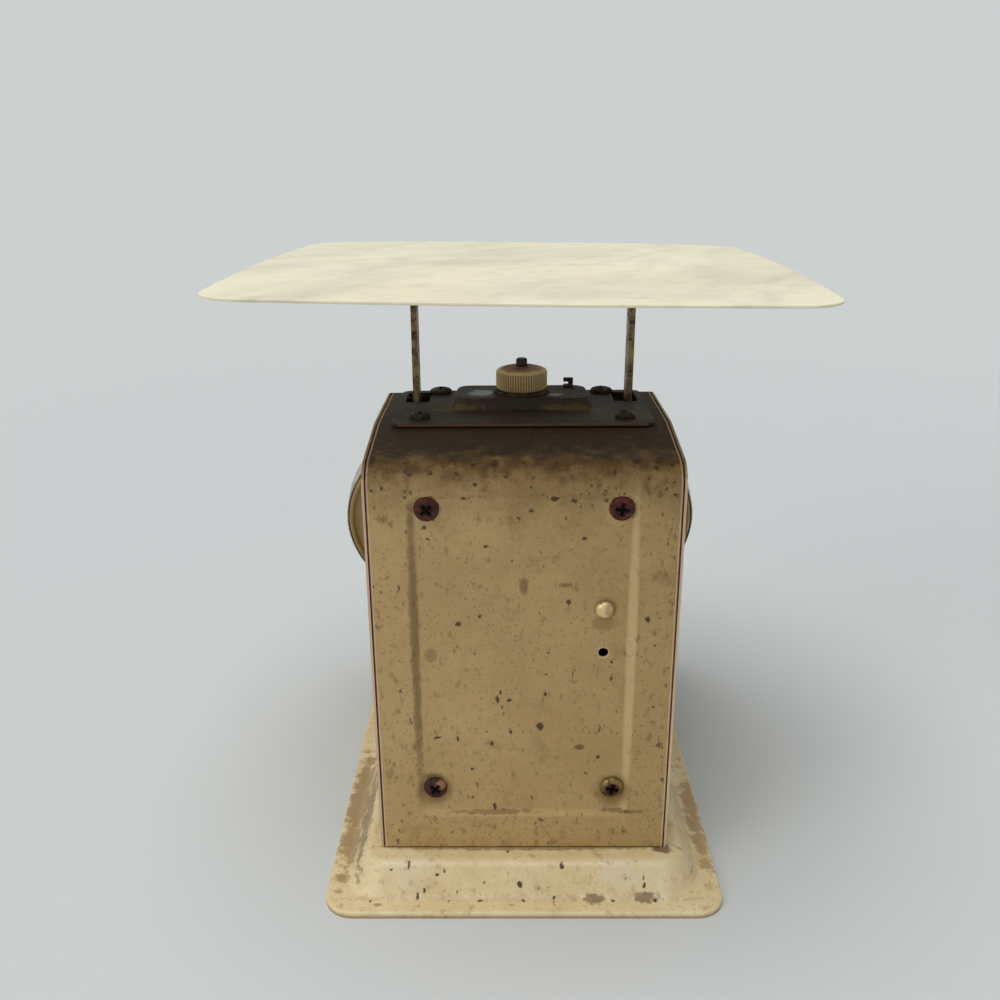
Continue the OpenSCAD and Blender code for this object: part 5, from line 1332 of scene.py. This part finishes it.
@dataclass
class Screws:
    """The screws that show: four in the rear cover and four in the roof cap."""

    stud_dome: float = 0.64

    def build(self) -> None:
        """Model the heads and the stud and dress them."""
        low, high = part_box("rear_cover_screws")
        across = CrossScrew.diameter / 2 * MM
        seat_y = high.y - CrossScrew.height * MM
        rear = Matrix(((1, 0, 0, 0), (0, 0, 1, 0), (0, 1, 0, 0), (0, 0, 0, 1)))
        heads = {(-1, 0): (12, OLIVE), (1, 0): (38, FLAKED), (-1, 1): (5, RUSTED),
                 (1, 1): (50, RUSTED)}
        for (side, level), (turn, finish) in heads.items():
            x = low.x + across if side < 0 else high.x - across
            z = low.z + across if level == 0 else high.z - across
            place = Matrix.Translation((x, seat_y, z)) @ rear @ Matrix.Rotation(
                math.radians(turn), 4, "Z")
            name = f"cover_screw_{'left' if side > 0 else 'right'}_{'high' if level else 'low'}"
            nodes = ("rear_cover_screws",) if (side, level) == (1, 1) else ()
            place_piece(CrossScrew().head(name, place), finish, Body.HOUSING, *nodes)
        dress_nodes(BROWNED, "roof_cap_screws")
        dress_nodes(ZINC, "roof_cap_nuts")
        self._stud(rear)

    def _stud(self, rear: Matrix) -> None:
        """Model the domed brass stud."""
        low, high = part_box("brass_stud")
        radius = (high.x - low.x) / 2 / MM
        dome = radius * self.stud_dome
        steps = 10
        turns = [math.radians(90 * k / steps) for k in range(steps)]
        form = Shape()
        form.lathe([(0.0, -0.2), (radius, -0.2)]
                   + [(radius * math.cos(turn), dome * math.sin(turn)) for turn in turns]
                   + [(0.0, dome)], 48)
        place = Matrix.Translation(((low.x + high.x) / 2, high.y - dome * MM,
                                    (low.z + high.z) / 2)) @ rear
        place_piece(form.done("stud_dome", place), BRASS, Body.HOUSING, "brass_stud")


@dataclass
class ZeroKnob:
    """Ribbed ivory nut, its washer and the end of the spindle."""

    ribs: int = 60
    rib_depth: float = 0.45
    crown: float = 1.6
    eye: float = 2.45

    def build(self) -> None:
        """Model the knob and dress what it turns on."""
        low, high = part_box("zero_knob")
        radius = (high.x - low.x) / 2 / MM
        height = (high.z - low.z) / MM
        side = height - self.crown
        form = Shape()
        # Radius and height of each ring, and whether the ribs are cut there
        levels = [(radius - 0.9, 0.0, 0), (radius - 0.4, 0.35, 0), (radius, 0.9, 1),
                  (radius, side - 0.9, 1), (radius - 0.25, side - 0.55, 0),
                  (radius - 0.3, side - 0.2, 0), (radius - 0.9, side + 0.15, 0),
                  (radius - 2.2, side + 0.6, 0), (radius * 0.6, side + 1.15, 0),
                  (radius * 0.35, side + 1.5, 0), (self.eye + 0.35, height, 0),
                  (self.eye, height - 0.3, 0), (self.eye, 0.0, 0)]
        loops = []
        for size, level, ribbed in levels:
            made = bmesh.ops.create_circle(form.bm, cap_ends=False, radius=size,
                                           segments=self.ribs * 4,
                                           matrix=Matrix.Translation((0, 0, level)))
            grooves = [vert for k, vert in enumerate(made["verts"]) if k % 4 in (2, 3)]
            if ribbed:
                shrink = 1 - self.rib_depth / size
                bmesh.ops.scale(form.bm, vec=(shrink, shrink, 1), verts=grooves)
                for vert in grooves:
                    vert[form.grime] = 1.0
            loops.append(list({edge for vert in made["verts"] for edge in vert.link_edges}))
        form.bridge(loops)
        form.bridge([loops[-1], loops[0]])
        place = Matrix.Translation(((low.x + high.x) / 2, (low.y + high.y) / 2, low.z))
        place_piece(form.done("ribbed_knob", place), IVORY, Body.KNOB, "zero_knob")
        place_piece(linked(merged_copy("spindle"), "spindle_rod", 0.3), DARK, Body.HANGER,
                    "spindle")
        dress_nodes(BROWNED, "knob_washer")


@dataclass
class Platform:
    """Flat sheet with bowed edges, tilted a little on its two straps."""

    sheet: float = 1.0
    width: float = 208.0
    depth: float = 202.6
    corner: float = 15.0
    bow: float = 4.0
    turn: float = -1.6
    tilt: float = 0.75
    pitch: float = 0.28
    droop: float = 0.75
    wave: float = 0.12
    cell: float = 13.0
    strap_foot: float = 12.0
    strap_gap: float = 0.1

    def build(self) -> None:
        """Model the platform and its straps and dress them."""
        low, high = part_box("platform")
        half_x, half_y = self.width / 2 - self.bow, self.depth / 2 - self.bow
        form = Shape()
        form.cap(form.rounded(2 * half_x, 2 * half_y, self.corner, 0.0, segments=10))
        for size, axis in ((2 * half_x, Vector((1, 0, 0))), (2 * half_y, Vector((0, 1, 0)))):
            count = int(size // self.cell)
            for k in range(1, count):
                bmesh.ops.bisect_plane(
                    form.bm, geom=form.bm.verts[:] + form.bm.edges[:] + form.bm.faces[:],
                    plane_co=axis * (size * (k / count - 0.5)), plane_no=axis)
        for vert in form.bm.verts:
            x, y = vert.co.x / half_x, vert.co.y / half_y
            drift = noise.noise(Vector((vert.co.x, vert.co.y, 40.0)) * 0.012)
            vert.co.z = drift * self.wave - self.droop * max(-y, 0.0) ** 3 * abs(x) ** 3
            vert.co.x += self.bow * x * (1 - y * y)
            vert.co.y += self.bow * y * (1 - x * x)
        drop = self.width / 2 * math.sin(math.radians(self.tilt)) + self.wave
        place = (Matrix.Translation(((low.x + high.x) / 2, (low.y + high.y) / 2,
                                     high.z - drop * MM))
                 @ Matrix.Rotation(math.radians(-self.tilt), 4, "Y")
                 @ Matrix.Rotation(math.radians(-self.pitch), 4, "X")
                 @ Matrix.Rotation(math.radians(self.turn), 4, "Z"))
        piece = form.done("platform_sheet", place, Vector((0, 0, 1)), self.sheet, 0.25)
        place_piece(piece, PLATFORM, Body.CARRIAGE, "platform")
        for side in ("left", "right"):
            self._strap(side, high.z - (drop + self.sheet) * MM)

    def _strap(self, side: str, under: float) -> None:
        """Lean a strap's copy, fit its top to the tilted sheet and dress it."""
        node = f"{side}_strap"
        bm = merged_copy(node)
        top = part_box(node)[1].z
        slant = math.tan(math.radians(self.tilt))
        for vert in bm.verts:
            if vert.co.z > top - self.strap_foot * MM:
                vert.co.z += under + slant * vert.co.x - top - self.strap_gap * MM
            vert.co.x -= slant * max(vert.co.z - ROOF, 0.0)
        place_piece(linked(bm, f"{node}_bar", 0.3), STRAP, Body.CARRIAGE, node)


@dataclass(frozen=True)
class Tick:
    """A line of the printed scale, in millimetres."""

    length: float
    width: float


WHOLE_TICK = Tick(7.5, 0.9)
HALF_TICK = Tick(5.5, 0.6)
FINE_TICK = Tick(3.4, 0.35)


@dataclass
class Dial:
    """Pan, bezel, lens, printed disc and pointer on the sloped front."""

    divisions: int = 25
    parts: int = 10
    face_top: float = 3.9
    ink: float = 0.05
    scale_r: float = 80.4
    numeral_r: float = 63.5
    numeral: float = 10.5
    wall: float = 0.8
    bezel_r: float = 89.3
    bezel_foot: float = 1.6
    bezel_top: float = 12.4
    lip_r: float = 81.9
    lens_r: float = 84.0
    lens_foot: float = 9.9
    lens_top: float = 11.5
    hub_r: float = 5.0
    hub_foot: float = 4.7
    hub_top: float = 7.5

    def build(self) -> None:
        """Model the dial's pieces and dress them."""
        spin = next(joint for joint in frame["joints"] if joint["name"] == "pointer_spin")
        out = Vector(spin["axis"]).normalized()
        across = Vector((1, 0, 0))
        axes = Matrix((across, out.cross(across), out)).transposed().to_4x4()
        place = Matrix.Translation(spin["pos_m"]) @ axes
        self._bezel(place)
        self._print(place)
        glass = Shape()
        glass.lathe([(0.0, self.lens_foot), (self.lens_r - 0.3, self.lens_foot),
                     (self.lens_r, self.lens_foot + 0.3), (self.lens_r, self.lens_top - 0.3),
                     (self.lens_r - 0.3, self.lens_top), (0.0, self.lens_top)], 128)
        place_piece(glass.done("lens_disc", place), LENS, Body.HOUSING, "lens")
        hub = Shape()
        hub.lathe([(0.0, self.hub_foot), (self.hub_r, self.hub_foot), (self.hub_r, 6.2),
                   (self.hub_r - 0.4, 6.9), (self.hub_r - 1.6, 7.35), (0.0, self.hub_top)], 48)
        place_piece(hub.done("pointer_boss", place), BRASS, Body.INDICATOR, "pointer_hub")
        place_piece(linked(merged_copy("pointer"), "pointer_blade", 0.12), POINTER_PAINT,
                    Body.INDICATOR, "pointer")
        place_piece(linked(merged_copy("dial_pan"), "dial_pan_sheet", 0.0), SHADED_PAN_PAINT,
                    Body.HOUSING, "dial_pan")
        dress_nodes(FACE, "dial_face", "dial_spacer")
        dress_nodes(ZINC, "dial_screws")

    def _bezel(self, place: Matrix) -> None:
        """Spin the bezel's rounded section."""
        r, top, lip = self.bezel_r, self.bezel_top, self.lip_r
        under = self.lens_top + 0.05
        form = Shape()
        form.lathe([(r - self.wall, self.bezel_foot), (r, self.bezel_foot), (r, top - 3.4),
                    (r - 0.25, top - 2.2), (r - 0.9, top - 1.1), (r - 2.0, top - 0.35),
                    (r - 3.4, top), (r - 5.0, top - 0.05), (lip + 0.9, top - 0.35),
                    (lip + 0.2, top - 0.65), (lip, under + 0.02), (lip + 0.6, under),
                    (r - 3.2, under), (r - 1.7, under - 0.5), (r - 1.0, under - 1.4),
                    (r - self.wall, under - 2.6), (r - self.wall, self.bezel_foot)], 160)
        place_piece(form.done("bezel_ring", place), NICKEL, Body.HOUSING, "bezel")

    def _print(self, place: Matrix) -> None:
        """Print the scale's lines and its plain numbers on the disc."""
        lines = Shape()
        middle = self.face_top + self.ink / 2
        count = self.divisions * self.parts
        for k in range(count):
            tick = {0: WHOLE_TICK, self.parts // 2: HALF_TICK}.get(k % self.parts, FINE_TICK)
            spoke = Matrix.Rotation(-math.tau * k / count, 4, "Z") @ Matrix.Translation(
                (0, self.scale_r - tick.length / 2, middle))
            bmesh.ops.create_cube(lines.bm, size=1.0, matrix=spoke @ Matrix.Diagonal(
                (tick.width, tick.length, self.ink, 1.0)))
        lines.lathe([(self.scale_r - 0.2, middle + self.ink / 2),
                     (self.scale_r + 0.3, middle + self.ink / 2),
                     (self.scale_r + 0.3, middle - self.ink / 2),
                     (self.scale_r - 0.2, middle - self.ink / 2),
                     (self.scale_r - 0.2, middle + self.ink / 2)], 128)
        place_piece(lines.done("scale_lines", place), INK, Body.HOUSING)
        numbers = Shape()
        for k in range(self.divisions):
            text = bpy.data.curves.new("numeral", "FONT")
            text.body = str(k)
            text.align_x = "CENTER"
            text.align_y = "CENTER"
            text.size = self.numeral
            text.extrude = self.ink / 2
            text.resolution_u = 4
            holder = bpy.data.objects.new("numeral", text)
            printed = bpy.data.meshes.new_from_object(holder)
            before = len(numbers.bm.verts)
            numbers.bm.from_mesh(printed)
            numbers.bm.verts.ensure_lookup_table()
            turn = math.tau * k / self.divisions
            bmesh.ops.translate(numbers.bm, verts=numbers.bm.verts[before:], vec=(
                self.numeral_r * math.sin(turn), self.numeral_r * math.cos(turn), middle))
            bpy.data.objects.remove(holder)
            bpy.data.meshes.remove(printed)
        place_piece(numbers.done("dial_numbers", place), INK, Body.HOUSING)


@dataclass
class Inside:
    """What the housing holds, seen from underneath and through the slots."""

    def build(self) -> None:
        """Dress the inner pieces."""
        dress_nodes(ZINC, "left_rail", "right_rail", "bearing_plate", "rack_guide",
                    "carriage_bar", "drive_arm", "link_pins", "carriage_rivets", "pivot_rods")
        dress_nodes(DARK, "upper_check_link", "lower_check_link", "main_spring", "rack",
                    "pointer_arbor")
        dress_nodes(BRASS, "arbor_bush", "bearing_bridge", "pinion", "drive_pin")


@dataclass
class Studio:
    """Pale floor and backdrop, soft lights and the camera at the photograph's angle."""

    camera_back: float = 0.32699
    camera_side: float = 0.00553
    camera_height: float = 0.2822
    pitch: float = 19.63
    yaw: float = 0.55
    roll: float = -0.40
    lens: float = 34.93
    paper: Color = shade(205, 208, 208)
    floor_radius: float = 2.2
    floor_bend: float = 0.8
    wall_top: float = 3.5
    sun_strength: float = 2.1
    sun_angle: float = 50.0
    sun_at: Point = (0.5, 0.6, 4.0)
    fill_strength: float = 27.0
    fill_size: float = 2.0
    fill_at: Point = (2.3, 1.7, 1.2)
    aim_at: Point = (0.0, 0.0, 0.12)
    air: float = 0.2

    def build(self) -> None:
        """Set up the stage."""
        self._floor()
        self._lights()
        self._camera()
        bpy.context.scene.view_settings.view_transform = "Standard"

    def _floor(self) -> None:
        """Sweep a floor up into a backdrop, closed all round."""
        bm = bmesh.new()
        radius, bend, top, steps = self.floor_radius, self.floor_bend, self.wall_top, 8
        section = [(0.0, 0.0), (radius, 0.0)]
        section += [(radius + bend * math.sin(math.radians(90 * k / steps)),
                     bend - bend * math.cos(math.radians(90 * k / steps)))
                    for k in range(1, steps + 1)]
        section.append((radius + bend, top))
        verts = [bm.verts.new((x, 0.0, z)) for x, z in section]
        edges = [bm.edges.new(pair) for pair in zip(verts, verts[1:])]
        bmesh.ops.spin(bm, geom=verts + edges, cent=(0, 0, 0), axis=(0, 0, 1), angle=math.tau,
                       steps=64, use_merge=True)
        bmesh.ops.remove_doubles(bm, verts=bm.verts, dist=1e-5)
        bmesh.ops.recalc_face_normals(bm, faces=bm.faces)
        bmesh.ops.reverse_faces(bm, faces=bm.faces)
        mesh = bpy.data.meshes.new("studio_floor")
        bm.to_mesh(mesh)
        bm.free()
        mesh.polygons.foreach_set("use_smooth", [True] * len(mesh.polygons))
        floor = bpy.data.objects.new("studio_floor", mesh)
        bpy.context.scene.collection.objects.link(floor)
        mesh.materials.append(self._paper())

    def _paper(self) -> bpy.types.Material:
        """Make paper that takes the shadow near the part and stays even far from it."""
        material = bpy.data.materials.new("studio_paper")
        material.use_nodes = True
        g = Graph(material.node_tree)
        lit = g.add("ShaderNodeBsdfDiffuse", {"Color": self.paper})
        even = g.add("ShaderNodeEmission", {"Color": self.paper})
        rays = g.add("ShaderNodeLightPath").outputs
        seen = g.math("MAXIMUM", rays["Is Camera Ray"],
                      g.math("MAXIMUM", rays["Is Glossy Ray"], rays["Is Transmission Ray"]))
        place = g.add("ShaderNodeTexCoord").outputs["Object"]
        far = g.step(g.measure("LENGTH", place), 0.35, 1.4)
        mixed = g.add("ShaderNodeMixShader", {0: g.math("MULTIPLY", seen, far),
                                              1: lit.outputs[0], 2: even.outputs[0]})
        g.add("ShaderNodeOutputMaterial", {0: mixed.outputs[0]})
        return material

    def _lights(self) -> None:
        """Light from nearly overhead, with a weaker soft light behind the camera."""
        sun = bpy.data.lights.new("overhead", "SUN")
        sun.energy = self.sun_strength
        sun.angle = math.radians(self.sun_angle)
        soft = bpy.data.lights.new("rear_fill", "AREA")
        soft.shape = "DISK"
        soft.size = self.fill_size
        soft.energy = self.fill_strength
        for data, at in ((sun, self.sun_at), (soft, self.fill_at)):
            lamp = bpy.data.objects.new(data.name, data)
            lamp.location = at
            aim = Vector(self.aim_at) - Vector(at)
            lamp.rotation_euler = aim.to_track_quat("-Z", "Y").to_euler()
            bpy.context.scene.collection.objects.link(lamp)
        world = bpy.data.worlds.new("studio_air")
        world.use_nodes = True
        air = world.node_tree.nodes["Background"]
        air.inputs["Color"].default_value = (0.93, 0.96, 1.0, 1.0)
        air.inputs["Strength"].default_value = self.air
        bpy.context.scene.world = world

    def _camera(self) -> None:
        """Stand the camera where the photograph was taken from."""
        data = bpy.data.cameras.new("camera")
        data.lens = self.lens
        data.sensor_width = 36.0
        camera = bpy.data.objects.new("camera", data)
        turn = (Matrix.Rotation(math.radians(180 + self.yaw), 4, "Z")
                @ Matrix.Rotation(math.radians(90 - self.pitch), 4, "X")
                @ Matrix.Rotation(math.radians(self.roll), 4, "Z"))
        spot = Matrix.Translation((self.camera_side, REAR + self.camera_back, self.camera_height))
        camera.matrix_world = spot @ turn
        bpy.context.scene.collection.objects.link(camera)
        bpy.context.scene.camera = camera


def main() -> None:
    """Build the stage, then each sub-assembly in order."""
    logging.basicConfig(level=logging.INFO, format="%(name)s: %(message)s")
    for part in (Studio(), Base(), RearCover(), FrontShell(), RoofCap(), Screws(), ZeroKnob(),
                 Platform(), Dial(), Inside()):
        LOG.info("building %s", type(part).__name__)
        part.build()


if __name__ == "__main__":
    main()
